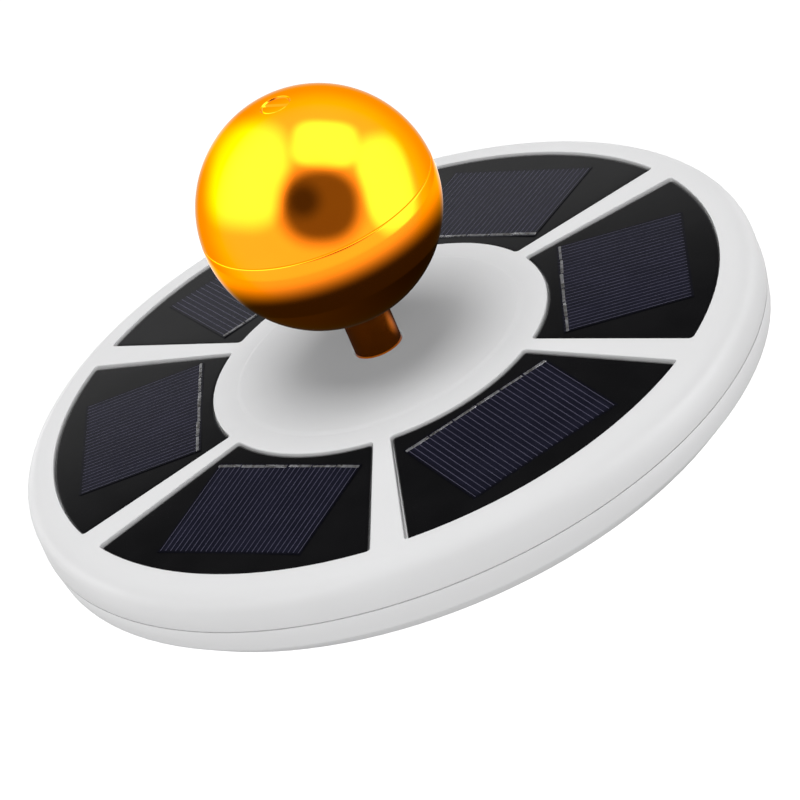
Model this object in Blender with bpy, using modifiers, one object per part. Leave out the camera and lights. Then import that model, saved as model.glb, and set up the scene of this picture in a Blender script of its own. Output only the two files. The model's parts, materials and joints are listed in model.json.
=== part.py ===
"""Solar flagpole light: a round two-shell housing under a gold ball finial.

Metres, +Z up along the pole. The origin is on the axis, at the flange of the
hub sleeve, where the light rests on the top of the pole. +X runs along one of
the six spokes between the solar panels.
"""

import math

import bmesh
import bpy
from mathutils import Matrix

# Clearances
GAP = 0.0003                      # between pieces that touch
BORE_GAP = 0.0003                 # spindle in its bores
SWING_GAP = 0.0004                # round the battery door
EMBED = 0.0008                    # how far a joined boss reaches into its wall

# Housing
HOUSING_DIAMETER = 0.200
HOUSING_HEIGHT = 0.026            # seat to the inner edge of the sloping deck
UNDERSIDE = 0.0005                # moulded underside above the seat
PARTING_HEIGHT = 0.0126
RIM_WIDTH = 0.009                 # panel pockets to the outside
RIM_FILLET = 0.005
RIM_DRAFT = 0.0002
WALL = 0.0025
SIDE_WALL = 0.0057
SEAL_WALL = 0.0026                # side wall left outside the seal
SEAL_HEIGHT = 0.0033
LOWER_SIDE_HEIGHT = 0.006         # top of the lower bevel
LOWER_SIDE_DRAFT = 0.0011
LOWER_BEVEL = 0.0061

# Deck, pockets and raised centre
PANEL_COUNT = 6
PANEL_INNER_RADIUS = 0.0456
DECK_FALL = 0.0022
SPOKE_ANGLE = math.radians(5.6)
POCKET_FLOOR = 0.0014
PLATEAU_RADIUS = 0.0389
PLATEAU_CHAMFER = 0.0012
PLATEAU_RISE = 0.0009
BORE_ROOF = 0.0026
LEAD_HOLE_RADIUS = 0.002

# Solar panels
PANEL_THICKNESS = 0.0009
PANEL_SIDE_ANGLE = math.radians(0.5)
CELL_THICKNESS = 0.00035
CELL_INNER_MARGIN = 0.0032
CELL_SIDE_MARGIN = 0.0032
CELL_OUTER_MARGIN = 0.0055
CELL_SUNK = 0.00025

# Screws
SCREW_INSET = 0.0105              # from the inside of the side wall
SCREW_RADIUS = 0.00145
SCREW_HEAD_RADIUS = 0.0028
SCREW_HEAD_HEIGHT = 0.002
SCREW_HEAD_SUNK = 0.0007
SCREW_ENGAGEMENT = 0.0055
SCREW_WALL = 0.00175
SCREW_BLIND_END = 0.001
POST_WALL = 0.0008

# Spindle and hub sleeve
SPINDLE_DIAMETER = 0.0127
SPINDLE_PROJECTION = 0.038        # threaded end below the seat
SPINDLE_CHAMFER = 0.001
SLEEVE_WALL = 0.00135
SLEEVE_FLANGE_WIDTH = 0.0071
SLEEVE_FLANGE_HEIGHT = 0.0015
HUB_WALL = 0.0032

# Ball
BALL_DIAMETER = 0.0625
BALL_WALL = 0.0012
BALL_STANDOFF = 0.012             # deck edge level to the underside of the ball
BALL_SEAM_RISE = 0.0028
BALL_HOLE_RADIUS = 0.004
BALL_INSERT_WALL = 0.003
BALL_INSERT_HEIGHT = 0.014
BALL_PLUG_HEIGHT = 0.0028
BALL_PLUG_SUNK = 0.0002
BALL_PLUG_SLOT_WIDTH = 0.0012
BALL_PLUG_SLOT_DEPTH = 0.0008

# Lamp
LAMP_OUTER_RADIUS = 0.048
LAMP_DEPTH = 0.0099               # underside to the lamp tray's ceiling
TRAY_THICKNESS = 0.002
LENS_LEDGE = 0.0023
LENS_INNER_LEDGE = 0.0014
LENS_THICKNESS = 0.0018
LENS_SEAL_THICKNESS = 0.0007
LENS_SEAL_WIDTH = 0.0016
LED_BOARD_THICKNESS = 0.0016
LED_BOARD_MARGIN = 0.0025
LED_COUNT = 12
LED_SIZE = 0.005
LED_HEIGHT = 0.001
REFLECTOR_THICKNESS = 0.0006
REFLECTOR_FLARE = 0.0075
REFLECTOR_DEPTH = 0.0033
TRAY_LEAD_ANGLE = math.radians(153)  # between two facet edges of the tray

# Control board
BOARD_ANGLE = math.radians(270)
BOARD_LENGTH = 0.030
BOARD_WIDTH = 0.018
BOARD_THICKNESS = 0.0016
STANDOFF_RADIUS = 0.002
STANDOFF_HEIGHT = 0.0013
STANDOFF_INSET = 0.003
CHIP_SIZE = 0.009
CHIP_HEIGHT = 0.0015
CONNECTOR_SIZE = (0.005, 0.008, 0.005)
BOARD_PART_SPREAD = 0.0075

# Battery bay: everything is placed along its own radius
BATTERY_ANGLE = math.radians(30)
BATTERY_RADIUS = 0.009
BATTERY_BODY_LENGTH = 0.0638
BATTERY_NUB_RADIUS = 0.003
BATTERY_NUB_LENGTH = 0.0012
BATTERY_PLACE_GAP = 0.0076        # lamp tray to the battery holder
HOLDER_WALL = 0.0012
HOLDER_HEIGHT = 0.011
CONTACT_THICKNESS = 0.0005
CONTACT_WIDTH = 0.012
CONTACT_HEIGHT = 0.009
SPRING_LENGTH = 0.0028
SPRING_WIRE_RADIUS = 0.00035
SPRING_BASE_RADIUS = 0.0045
SPRING_TIP_RADIUS = 0.0028
SPRING_TURNS = 2
SPRING_POINTS_PER_TURN = 12

# Battery door
DOOR_THICKNESS = 0.002
DOOR_MARGIN = 0.0014              # past the battery on the side away from the hinge
DOOR_HALF_LENGTH = 0.0345
HINGE_OFFSET = 0.0136             # battery axis to hinge axis
HINGE_BARREL_RADIUS = 0.0016
HINGE_PIN_RADIUS = 0.0007
HINGE_LUG_LENGTH = 0.003
HINGE_PIN_OVERHANG = 0.0022
HINGE_LUG_RISE = 0.0014
FINGER_NOTCH_RADIUS = 0.005
FINGER_NOTCH_DEPTH = 0.0008

# Switch
SWITCH_ANGLE = math.radians(210)
SWITCH_PLACE_RADIUS = 0.070
BUTTON_RADIUS = 0.0045
BUTTON_FLANGE = 0.0009
BUTTON_FLANGE_HEIGHT = 0.001
BUTTON_STANDOUT = 0.0012          # below the underside
BUTTON_TRAVEL = 0.0012
SWITCH_BODY_SIZE = 0.015
SWITCH_BODY_HEIGHT = 0.008
SWITCH_NUT_WIDTH = 0.0024
SWITCH_NUT_STANDOUT = 0.0007
SWITCH_NUT_SUNK = 0.0005

# Facets
HOUSING_STEPS = 60
RING_STEPS = 30
ROUND_STEPS = 24
SMALL_STEPS = 12
SECTOR_STEPS = 10
ARC_POINTS = 5
BALL_ARC_POINTS = 7

# Worked-out sizes that several pieces share
HOUSING_RADIUS = HOUSING_DIAMETER / 2
PANEL_OUTER_RADIUS = HOUSING_RADIUS - RIM_WIDTH
DECK_SLOPE = DECK_FALL / (PANEL_OUTER_RADIUS - PANEL_INNER_RADIUS)
SECTOR_ANGLE = math.tau / PANEL_COUNT
POCKET_DEPTH = GAP + PANEL_THICKNESS + GAP + CELL_THICKNESS + CELL_SUNK
DECK_THICKNESS = POCKET_DEPTH + POCKET_FLOOR
INNER_SIDE_RADIUS = HOUSING_RADIUS - SIDE_WALL
SEAL_SIDE_RADIUS = HOUSING_RADIUS - SEAL_WALL
SPINDLE_RADIUS = SPINDLE_DIAMETER / 2
BORE_RADIUS = SPINDLE_RADIUS + BORE_GAP
SLEEVE_RADIUS = BORE_RADIUS + SLEEVE_WALL
SLEEVE_HOLE_RADIUS = SLEEVE_RADIUS + GAP
FLANGE_RADIUS = SLEEVE_RADIUS + SLEEVE_FLANGE_WIDTH
FLANGE_HOLE_RADIUS = FLANGE_RADIUS + GAP
HUB_RADIUS = SLEEVE_HOLE_RADIUS + HUB_WALL
PLATEAU_TOP = HOUSING_HEIGHT + PLATEAU_RISE
SLEEVE_TOP = PLATEAU_TOP - BORE_ROOF - GAP
FLOOR_TOP = UNDERSIDE + WALL
TRAY_CEILING = UNDERSIDE + LAMP_DEPTH
TRAY_TOP = TRAY_CEILING + TRAY_THICKNESS
TRAY_OUTER_RADIUS = LAMP_OUTER_RADIUS + TRAY_THICKNESS
LENS_HOLE_OUTER = LAMP_OUTER_RADIUS + LENS_LEDGE
LENS_HOLE_INNER = FLANGE_HOLE_RADIUS + LENS_INNER_LEDGE
LAMP_INNER_RADIUS = LENS_HOLE_INNER + LENS_INNER_LEDGE
LENS_BOTTOM = UNDERSIDE + GAP
LENS_TOP = LENS_BOTTOM + LENS_THICKNESS
LENS_LEDGE_HEIGHT = LENS_TOP + LENS_SEAL_THICKNESS + 2 * GAP
LED_BOARD_TOP = TRAY_CEILING - GAP
LED_BOARD_BOTTOM = LED_BOARD_TOP - LED_BOARD_THICKNESS
LED_TOP = LED_BOARD_BOTTOM - GAP
LED_CIRCLE = (LAMP_OUTER_RADIUS + LAMP_INNER_RADIUS) / 2
SCREW_CIRCLE = INNER_SIDE_RADIUS - SCREW_INSET
SCREW_HOLE_RADIUS = SCREW_RADIUS + GAP
SCREW_HEAD_BOTTOM = UNDERSIDE + SCREW_HEAD_SUNK
SCREW_HEAD_TOP = SCREW_HEAD_BOTTOM + SCREW_HEAD_HEIGHT
SCREW_TIP = PARTING_HEIGHT + SCREW_ENGAGEMENT
BOSS_RADIUS = SCREW_HOLE_RADIUS + SCREW_WALL
POST_RADIUS = SCREW_HEAD_RADIUS + GAP + POST_WALL
HOLDER_HALF_WIDTH = BATTERY_RADIUS + 2 * GAP + HOLDER_WALL
BATTERY_PLACE_RADIUS = TRAY_OUTER_RADIUS + BATTERY_PLACE_GAP + HOLDER_HALF_WIDTH
BATTERY_AXIS_HEIGHT = UNDERSIDE + DOOR_THICKNESS + SWING_GAP + BATTERY_RADIUS
BATTERY_LENGTH = BATTERY_BODY_LENGTH + BATTERY_NUB_LENGTH
BATTERY_HALF_BAY = (BATTERY_LENGTH + CONTACT_THICKNESS + SPRING_LENGTH) / 2 + 2 * GAP
BATTERY_TAIL = -BATTERY_HALF_BAY + SPRING_LENGTH + 2 * GAP
HINGE_HEIGHT = UNDERSIDE + HINGE_BARREL_RADIUS
HINGE_HOLE_RADIUS = HINGE_PIN_RADIUS + GAP
DOOR_INNER = -(HINGE_OFFSET + BATTERY_RADIUS + DOOR_MARGIN)
BALL_RADIUS = BALL_DIAMETER / 2
BALL_CENTRE = HOUSING_HEIGHT + BALL_STANDOFF + BALL_RADIUS


def deck_height(radius):
    """Height of the sloping deck at a radius."""
    return HOUSING_HEIGHT - DECK_SLOPE * (radius - PANEL_INNER_RADIUS)


def arc(centre, radius, start, end, points):
    """Points on an arc in the radius-height plane, angles in degrees."""
    angles = [math.radians(start + (end - start) * i / (points - 1)) for i in range(points)]
    return [(centre[0] + radius * math.cos(a), centre[1] + radius * math.sin(a)) for a in angles]


def polar(radius, angle, height=0.0):
    """A point at a radius and angle round the axis."""
    return (radius * math.cos(angle), radius * math.sin(angle), height)


def new_collection(name):
    """Add a collection to the scene."""
    collection = bpy.data.collections.new(name)
    bpy.context.scene.collection.children.link(collection)
    return collection


def new_material(name, colour, roughness, metallic=0.0):
    """A Principled material with one colour."""
    material = bpy.data.materials.new(name)
    material.use_nodes = True
    shader = material.node_tree.nodes["Principled BSDF"]
    shader.inputs["Base Color"].default_value = (*colour, 1.0)
    shader.inputs["Roughness"].default_value = roughness
    shader.inputs["Metallic"].default_value = metallic
    return material


def add_object(name, mesh, collection, material=None, location=(0.0, 0.0, 0.0), turn=0.0):
    """Put a mesh in the scene under a name, turned about +Z."""
    piece = bpy.data.objects.new(name, mesh)
    piece.location = location
    piece.rotation_euler = (0.0, 0.0, turn)
    if material:
        mesh.materials.append(material)
    collection.objects.link(piece)
    return piece


def add_cutter(name, mesh, location=(0.0, 0.0, 0.0), turn=0.0):
    """Put a cutting or joining shape in the cutters' collection."""
    cutter = add_object(name, mesh, CUTTERS, location=location, turn=turn)
    cutter.hide_render = True
    cutter.display_type = "WIRE"
    return cutter


def mesh_from(bm, name):
    """Turn a bmesh of closed shapes into a smooth-shaded mesh."""
    bmesh.ops.recalc_face_normals(bm, faces=bm.faces)
    mesh = bpy.data.meshes.new(name)
    bm.to_mesh(mesh)
    bm.free()
    mesh.shade_smooth()
    mesh.set_sharp_from_angle(angle=math.radians(30))
    return mesh


def box_in(bm, low, high):
    """Add a box between two corners."""
    size = [h - l for l, h in zip(low, high)]
    middle = [(h + l) / 2 for l, h in zip(low, high)]
    matrix = Matrix.Translation(middle) @ Matrix.Diagonal((*size, 1.0))
    bmesh.ops.create_cube(bm, size=1.0, matrix=matrix)


def cylinder_in(bm, radius, low, high, place=(0.0, 0.0), steps=SMALL_STEPS):
    """Add an upright cylinder between two heights."""
    matrix = Matrix.Translation((place[0], place[1], (low + high) / 2))
    bmesh.ops.create_cone(bm, cap_ends=True, segments=steps, radius1=radius, radius2=radius,
                          depth=high - low, matrix=matrix)


def bar_in(bm, radius, half_length, place, steps=SMALL_STEPS):
    """Add a cylinder lying along Y, centred at an (x, z) place."""
    matrix = Matrix.Translation((place[0], 0.0, place[1])) @ Matrix.Rotation(math.pi / 2, 4, "X")
    bmesh.ops.create_cone(bm, cap_ends=True, segments=steps, radius1=radius, radius2=radius,
                          depth=2 * half_length, matrix=matrix)


def sector_in(bm, profile, start, end):
    """Sweep a closed radius-height outline from one angle to another."""
    corners = [bm.verts.new((radius, 0.0, height)) for radius, height in profile]
    face = bm.faces.new(corners)
    bmesh.ops.rotate(bm, verts=corners, matrix=Matrix.Rotation(start, 3, "Z"))
    bmesh.ops.spin(bm, geom=[face, *face.edges, *corners], axis=(0, 0, 1), angle=end - start,
                   steps=SECTOR_STEPS)


def turned(name, profile, material, closed=True, steps=ROUND_STEPS, height=0.0):
    """A turned piece: its radius-height outline, outer side first, goes round +Z."""
    count = len(profile)
    edges = [(i, (i + 1) % count) for i in range(count if closed else count - 1)]
    mesh = bpy.data.meshes.new(name)
    mesh.from_pydata([(radius, 0.0, z) for radius, z in profile], edges, [])
    piece = add_object(name, mesh, PARTS, material, location=(0.0, 0.0, height))
    screw = piece.modifiers.new("Turn", "SCREW")
    screw.axis = "Z"
    screw.steps = steps
    screw.render_steps = steps
    screw.use_merge_vertices = True
    screw.merge_threshold = 0.00001
    screw.use_smooth_shade = True
    return piece


def cut(piece, cutter, operation="DIFFERENCE"):
    """Cut a shape from a piece, or join it on."""
    boolean = piece.modifiers.new(cutter.name, "BOOLEAN")
    boolean.operation = operation
    boolean.solver = "EXACT"
    boolean.object = cutter


def box_piece(name, low, high, material, location=(0.0, 0.0, 0.0), turn=0.0):
    """A plain block as its own piece."""
    bm = bmesh.new()
    box_in(bm, low, high)
    return add_object(name, mesh_from(bm, name), PARTS, material, location, turn)


def spoke_angles():
    """The angles of the spokes, where the screws are."""
    return [i * SECTOR_ANGLE for i in range(PANEL_COUNT)]


def screw_places():
    """Where the six screws stand."""
    return [polar(SCREW_CIRCLE, angle)[:2] for angle in spoke_angles()]


def upper_outline():
    """Section of the upper shell, from the plateau over the rim and back inside."""
    rim_top = deck_height(HOUSING_RADIUS - RIM_FILLET)
    side = HOUSING_RADIUS - RIM_DRAFT
    fillet = arc((side - RIM_FILLET, rim_top - RIM_FILLET), RIM_FILLET, 90, 0, ARC_POINTS)
    bottom = PARTING_HEIGHT + GAP / 2
    seal_top = PARTING_HEIGHT + SEAL_HEIGHT / 2 + GAP
    inner_rim = deck_height(INNER_SIDE_RADIUS) - DECK_THICKNESS
    inner_hub = deck_height(HUB_RADIUS) - DECK_THICKNESS
    return [
        (BORE_RADIUS, PLATEAU_TOP),
        (PLATEAU_RADIUS - PLATEAU_CHAMFER, PLATEAU_TOP),
        (PLATEAU_RADIUS, deck_height(PLATEAU_RADIUS)),
        (PANEL_OUTER_RADIUS, deck_height(PANEL_OUTER_RADIUS)),
        *fillet,
        (HOUSING_RADIUS, bottom),
        (SEAL_SIDE_RADIUS, bottom),
        (SEAL_SIDE_RADIUS, seal_top),
        (INNER_SIDE_RADIUS, seal_top),
        (INNER_SIDE_RADIUS, inner_rim),
        (HUB_RADIUS, inner_hub),
        (HUB_RADIUS, TRAY_TOP + HUB_WALL),
        (SLEEVE_HOLE_RADIUS, TRAY_TOP + HUB_WALL),
        (SLEEVE_HOLE_RADIUS, PLATEAU_TOP - BORE_ROOF),
        (BORE_RADIUS, PLATEAU_TOP - BORE_ROOF),
    ]


def lower_outline():
    """Section of the lower shell, from the parting line round the lamp tray to the hub."""
    top = PARTING_HEIGHT - GAP / 2
    seal_bottom = PARTING_HEIGHT - SEAL_HEIGHT / 2 - GAP
    bevel_top = HOUSING_RADIUS - LOWER_SIDE_DRAFT
    flange_ceiling = SLEEVE_FLANGE_HEIGHT + GAP
    return [
        (HOUSING_RADIUS, top),
        (bevel_top, LOWER_SIDE_HEIGHT),
        (bevel_top - LOWER_BEVEL, UNDERSIDE),
        (LENS_HOLE_OUTER, UNDERSIDE),
        (LENS_HOLE_OUTER, LENS_LEDGE_HEIGHT),
        (LAMP_OUTER_RADIUS, LENS_LEDGE_HEIGHT),
        (LAMP_OUTER_RADIUS, TRAY_CEILING),
        (LAMP_INNER_RADIUS, TRAY_CEILING),
        (LAMP_INNER_RADIUS, LENS_LEDGE_HEIGHT),
        (LENS_HOLE_INNER, LENS_LEDGE_HEIGHT),
        (LENS_HOLE_INNER, UNDERSIDE),
        (FLANGE_HOLE_RADIUS, UNDERSIDE),
        (FLANGE_HOLE_RADIUS, flange_ceiling),
        (SLEEVE_HOLE_RADIUS, flange_ceiling),
        (SLEEVE_HOLE_RADIUS, TRAY_TOP),
        (TRAY_OUTER_RADIUS, TRAY_TOP),
        (TRAY_OUTER_RADIUS, FLOOR_TOP),
        (bevel_top - LOWER_BEVEL - WALL, FLOOR_TOP),
        (INNER_SIDE_RADIUS, LOWER_SIDE_HEIGHT),
        (INNER_SIDE_RADIUS, seal_bottom),
        (SEAL_SIDE_RADIUS, seal_bottom),
        (SEAL_SIDE_RADIUS, top),
    ]


def make_upper_housing(material):
    """The upper shell, with its six panel pockets and six screw bosses."""
    shell = turned("upper_housing", upper_outline(), material, steps=HOUSING_STEPS)

    bosses = bmesh.new()
    boss_top = deck_height(SCREW_CIRCLE) - DECK_THICKNESS + EMBED
    for place in screw_places():
        cylinder_in(bosses, BOSS_RADIUS, PARTING_HEIGHT + GAP, boss_top, place)
    cut(shell, add_cutter("upper_bosses", mesh_from(bosses, "upper_bosses")), "UNION")

    holes = bmesh.new()
    above = HOUSING_HEIGHT + DECK_THICKNESS
    for index, spoke in enumerate(spoke_angles()):
        outline = [
            (PANEL_INNER_RADIUS, deck_height(PANEL_INNER_RADIUS) - POCKET_DEPTH),
            (PANEL_OUTER_RADIUS, deck_height(PANEL_OUTER_RADIUS) - POCKET_DEPTH),
            (PANEL_OUTER_RADIUS, above),
            (PANEL_INNER_RADIUS, above),
        ]
        sector_in(holes, outline, spoke + SPOKE_ANGLE / 2, spoke + SECTOR_ANGLE - SPOKE_ANGLE / 2)
        cylinder_in(holes, SCREW_HOLE_RADIUS, PARTING_HEIGHT - EMBED, SCREW_TIP + SCREW_BLIND_END,
                    screw_places()[index])
    cut(shell, add_cutter("upper_pockets", mesh_from(holes, "upper_pockets")))

    leads = bmesh.new()
    lead_radius = (PANEL_INNER_RADIUS + PANEL_OUTER_RADIUS) / 2
    for spoke in spoke_angles():
        place = polar(lead_radius, spoke + SECTOR_ANGLE / 2)[:2]
        cylinder_in(leads, LEAD_HOLE_RADIUS, PARTING_HEIGHT, above, place)
    cut(shell, add_cutter("upper_lead_holes", mesh_from(leads, "upper_lead_holes")))
    return shell


def add_lower_posts(shell):
    """Join the screw posts and the control board's standoffs to the lower shell."""
    posts = bmesh.new()
    for place in screw_places():
        cylinder_in(posts, POST_RADIUS, FLOOR_TOP - EMBED, PARTING_HEIGHT - GAP, place)
    cut(shell, add_cutter("lower_posts", mesh_from(posts, "lower_posts")), "UNION")

    standoffs = bmesh.new()
    for x in (STANDOFF_INSET - BOARD_WIDTH / 2, BOARD_WIDTH / 2 - STANDOFF_INSET):
        for y in (STANDOFF_INSET - BOARD_LENGTH / 2, BOARD_LENGTH / 2 - STANDOFF_INSET):
            cylinder_in(standoffs, STANDOFF_RADIUS, TRAY_TOP - EMBED, TRAY_TOP + STANDOFF_HEIGHT, (x, y))
    cut(shell, add_cutter("board_standoffs", mesh_from(standoffs, "board_standoffs"),
                          polar(LED_CIRCLE, BOARD_ANGLE), BOARD_ANGLE), "UNION")


def cut_battery_bay(shell):
    """Cut the door opening in the lower shell and give it the two hinge lugs."""
    place = polar(BATTERY_PLACE_RADIUS, BATTERY_ANGLE)
    near = HINGE_OFFSET - HINGE_BARREL_RADIUS
    far = HINGE_OFFSET + HINGE_BARREL_RADIUS
    lug_top = FLOOR_TOP + HINGE_LUG_RISE
    opening_half = DOOR_HALF_LENGTH + GAP

    lugs = bmesh.new()
    for side in (-1, 1):
        ends = sorted((side * (opening_half - EMBED), side * (opening_half + HINGE_LUG_LENGTH)))
        box_in(lugs, (near, ends[0], FLOOR_TOP - EMBED), (far, ends[1], lug_top))
    cut(shell, add_cutter("hinge_lugs", mesh_from(lugs, "hinge_lugs"), place, BATTERY_ANGLE), "UNION")

    opening = bmesh.new()
    inner = HINGE_OFFSET + DOOR_INNER - SWING_GAP
    box_in(opening, (inner, -opening_half, -UNDERSIDE), (far + SWING_GAP, opening_half, lug_top + EMBED))
    cut(shell, add_cutter("door_opening", mesh_from(opening, "door_opening"), place, BATTERY_ANGLE))

    pin_hole = bmesh.new()
    half = DOOR_HALF_LENGTH + HINGE_PIN_OVERHANG + GAP
    bar_in(pin_hole, HINGE_HOLE_RADIUS, half, (HINGE_OFFSET, HINGE_HEIGHT))
    cut(shell, add_cutter("hinge_pin_hole", mesh_from(pin_hole, "hinge_pin_hole"), place, BATTERY_ANGLE))


def make_lower_housing(material):
    """The lower shell: floor, lamp tray, hub, screw posts, battery opening and switch hole."""
    shell = turned("lower_housing", lower_outline(), material, steps=HOUSING_STEPS)
    add_lower_posts(shell)
    cut_battery_bay(shell)

    holes = bmesh.new()
    counterbore_top = SCREW_HEAD_TOP + GAP
    for place in screw_places():
        cylinder_in(holes, SCREW_HEAD_RADIUS + GAP, -UNDERSIDE, counterbore_top, place)
    cut(shell, add_cutter("screw_counterbores", mesh_from(holes, "screw_counterbores")))

    shafts = bmesh.new()
    for place in screw_places():
        cylinder_in(shafts, SCREW_HOLE_RADIUS, UNDERSIDE, PARTING_HEIGHT + GAP, place)
    cylinder_in(shafts, BUTTON_RADIUS + GAP, -UNDERSIDE, FLOOR_TOP + GAP,
                polar(SWITCH_PLACE_RADIUS, SWITCH_ANGLE)[:2], ROUND_STEPS)
    cylinder_in(shafts, LEAD_HOLE_RADIUS, TRAY_CEILING - EMBED, TRAY_TOP + EMBED,
                polar(LED_CIRCLE, TRAY_LEAD_ANGLE)[:2])
    cut(shell, add_cutter("screw_shaft_holes", mesh_from(shafts, "screw_shaft_holes")))

    recess = bmesh.new()
    cylinder_in(recess, BUTTON_RADIUS + SWITCH_NUT_WIDTH + 2 * GAP, -UNDERSIDE,
                UNDERSIDE + SWITCH_NUT_SUNK + GAP, polar(SWITCH_PLACE_RADIUS, SWITCH_ANGLE)[:2], ROUND_STEPS)
    cut(shell, add_cutter("switch_nut_recess", mesh_from(recess, "switch_nut_recess")))
    return shell


def make_housing_seal(material):
    """The square rubber ring that closes the parting line from inside."""
    low = PARTING_HEIGHT - SEAL_HEIGHT / 2
    high = PARTING_HEIGHT + SEAL_HEIGHT / 2
    outer = SEAL_SIDE_RADIUS - GAP
    outline = [(outer, high), (outer, low), (INNER_SIDE_RADIUS + GAP, low), (INNER_SIDE_RADIUS + GAP, high)]
    turned("housing_seal", outline, material, steps=RING_STEPS)


def make_hub_sleeve(material):
    """The flanged metal sleeve that lines the bore and rests on the pole."""
    outline = [
        (SLEEVE_RADIUS, SLEEVE_TOP),
        (SLEEVE_RADIUS, SLEEVE_FLANGE_HEIGHT),
        (FLANGE_RADIUS, SLEEVE_FLANGE_HEIGHT),
        (FLANGE_RADIUS, 0.0),
        (BORE_RADIUS, 0.0),
        (BORE_RADIUS, SLEEVE_TOP),
    ]
    turned("hub_sleeve", outline, material)


def make_solar_panels(panel_material, cell_material):
    """Six panels in their pockets, each with its rectangular cell."""
    inner = PANEL_INNER_RADIUS + GAP
    outer = PANEL_OUTER_RADIUS - GAP
    drop = POCKET_DEPTH - GAP
    outline = [
        (inner, deck_height(inner) - drop),
        (outer, deck_height(outer) - drop),
        (outer, deck_height(outer) - drop + PANEL_THICKNESS),
        (inner, deck_height(inner) - drop + PANEL_THICKNESS),
    ]
    side = SPOKE_ANGLE / 2 + PANEL_SIDE_ANGLE
    cell_near = PANEL_INNER_RADIUS + CELL_INNER_MARGIN
    half_width = cell_near * math.tan(SECTOR_ANGLE / 2 - SPOKE_ANGLE / 2) - CELL_SIDE_MARGIN
    cell_far = PANEL_OUTER_RADIUS - CELL_OUTER_MARGIN - half_width ** 2 / (2 * PANEL_OUTER_RADIUS)
    half_length = (cell_far - cell_near) / 2
    middle = (cell_far + cell_near) / 2
    cell_top = deck_height(middle) - CELL_SUNK
    tilt = math.atan(DECK_SLOPE)
    for index in range(PANEL_COUNT):
        spoke = index * SECTOR_ANGLE
        bm = bmesh.new()
        sector_in(bm, outline, spoke + side, spoke + SECTOR_ANGLE - side)
        name = f"solar_panel_{index + 1}"
        add_object(name, mesh_from(bm, name), PARTS, panel_material)
        facing = spoke + SECTOR_ANGLE / 2
        cell = box_piece(f"solar_cell_{index + 1}", (-half_length, -half_width, -CELL_THICKNESS),
                         (half_length, half_width, 0.0), cell_material, polar(middle, facing, cell_top))
        cell.rotation_euler = (0.0, tilt, facing)


def make_screws(material):
    """Six counterbored screws, up through the lower posts into the upper bosses."""
    outline = [
        (0.0, SCREW_TIP),
        (SCREW_RADIUS, SCREW_TIP),
        (SCREW_RADIUS, SCREW_HEAD_TOP),
        (SCREW_HEAD_RADIUS, SCREW_HEAD_TOP),
        (SCREW_HEAD_RADIUS, SCREW_HEAD_BOTTOM),
        (0.0, SCREW_HEAD_BOTTOM),
    ]
    for index, place in enumerate(screw_places()):
        screw = turned(f"housing_screw_{index + 1}", outline, material, closed=False, steps=SMALL_STEPS)
        screw.location = (*place, 0.0)


def make_lamp(materials):
    """LED board, LEDs, reflector, lens and lens seal, in the lower shell's tray."""
    board_outer = LAMP_OUTER_RADIUS - LED_BOARD_MARGIN
    board_inner = LAMP_INNER_RADIUS + LED_BOARD_MARGIN
    board = [(board_outer, LED_BOARD_TOP), (board_outer, LED_BOARD_BOTTOM),
             (board_inner, LED_BOARD_BOTTOM), (board_inner, LED_BOARD_TOP)]
    turned("led_board", board, materials["led_board"], steps=RING_STEPS)

    half = LED_SIZE / 2
    holes = bmesh.new()
    for index in range(LED_COUNT):
        angle = math.tau * (index + 0.5) / LED_COUNT
        box_piece(f"led_{index + 1:02d}", (-half, -half, LED_TOP - LED_HEIGHT), (half, half, LED_TOP),
                  materials["led"], polar(LED_CIRCLE, angle), angle)
        start = len(holes.verts)
        box_in(holes, (-half - GAP, -half - GAP, LENS_TOP), (half + GAP, half + GAP, LED_BOARD_TOP))
        holes.verts.ensure_lookup_table()
        place = Matrix.Translation(polar(LED_CIRCLE, angle)) @ Matrix.Rotation(angle, 4, "Z")
        bmesh.ops.transform(holes, matrix=place, verts=holes.verts[start:])

    outer = LAMP_OUTER_RADIUS - GAP
    inner = LAMP_INNER_RADIUS + GAP
    plate_bottom = LED_TOP - REFLECTOR_THICKNESS
    reflector_outline = [
        (outer - REFLECTOR_FLARE, LED_TOP),
        (outer, LED_TOP - REFLECTOR_DEPTH),
        (outer, plate_bottom - REFLECTOR_DEPTH),
        (outer - REFLECTOR_FLARE, plate_bottom),
        (inner + REFLECTOR_FLARE, plate_bottom),
        (inner, plate_bottom - REFLECTOR_DEPTH),
        (inner, LED_TOP - REFLECTOR_DEPTH),
        (inner + REFLECTOR_FLARE, LED_TOP),
    ]
    reflector = turned("lamp_reflector", reflector_outline, materials["reflector"], steps=RING_STEPS)
    cut(reflector, add_cutter("reflector_holes", mesh_from(holes, "reflector_holes")))

    lens_outer = LENS_HOLE_OUTER - GAP
    lens_inner = LENS_HOLE_INNER + GAP
    lens = [(lens_outer, LENS_TOP), (lens_outer, LENS_BOTTOM),
            (lens_inner, LENS_BOTTOM), (lens_inner, LENS_TOP)]
    turned("lamp_lens", lens, materials["lens"], steps=RING_STEPS)

    seal_low = LENS_TOP + GAP
    seal_high = seal_low + LENS_SEAL_THICKNESS
    seal_inner = lens_outer - LENS_SEAL_WIDTH
    seal = [(lens_outer, seal_high), (lens_outer, seal_low), (seal_inner, seal_low), (seal_inner, seal_high)]
    turned("lens_seal", seal, materials["rubber"], steps=RING_STEPS)


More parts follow.
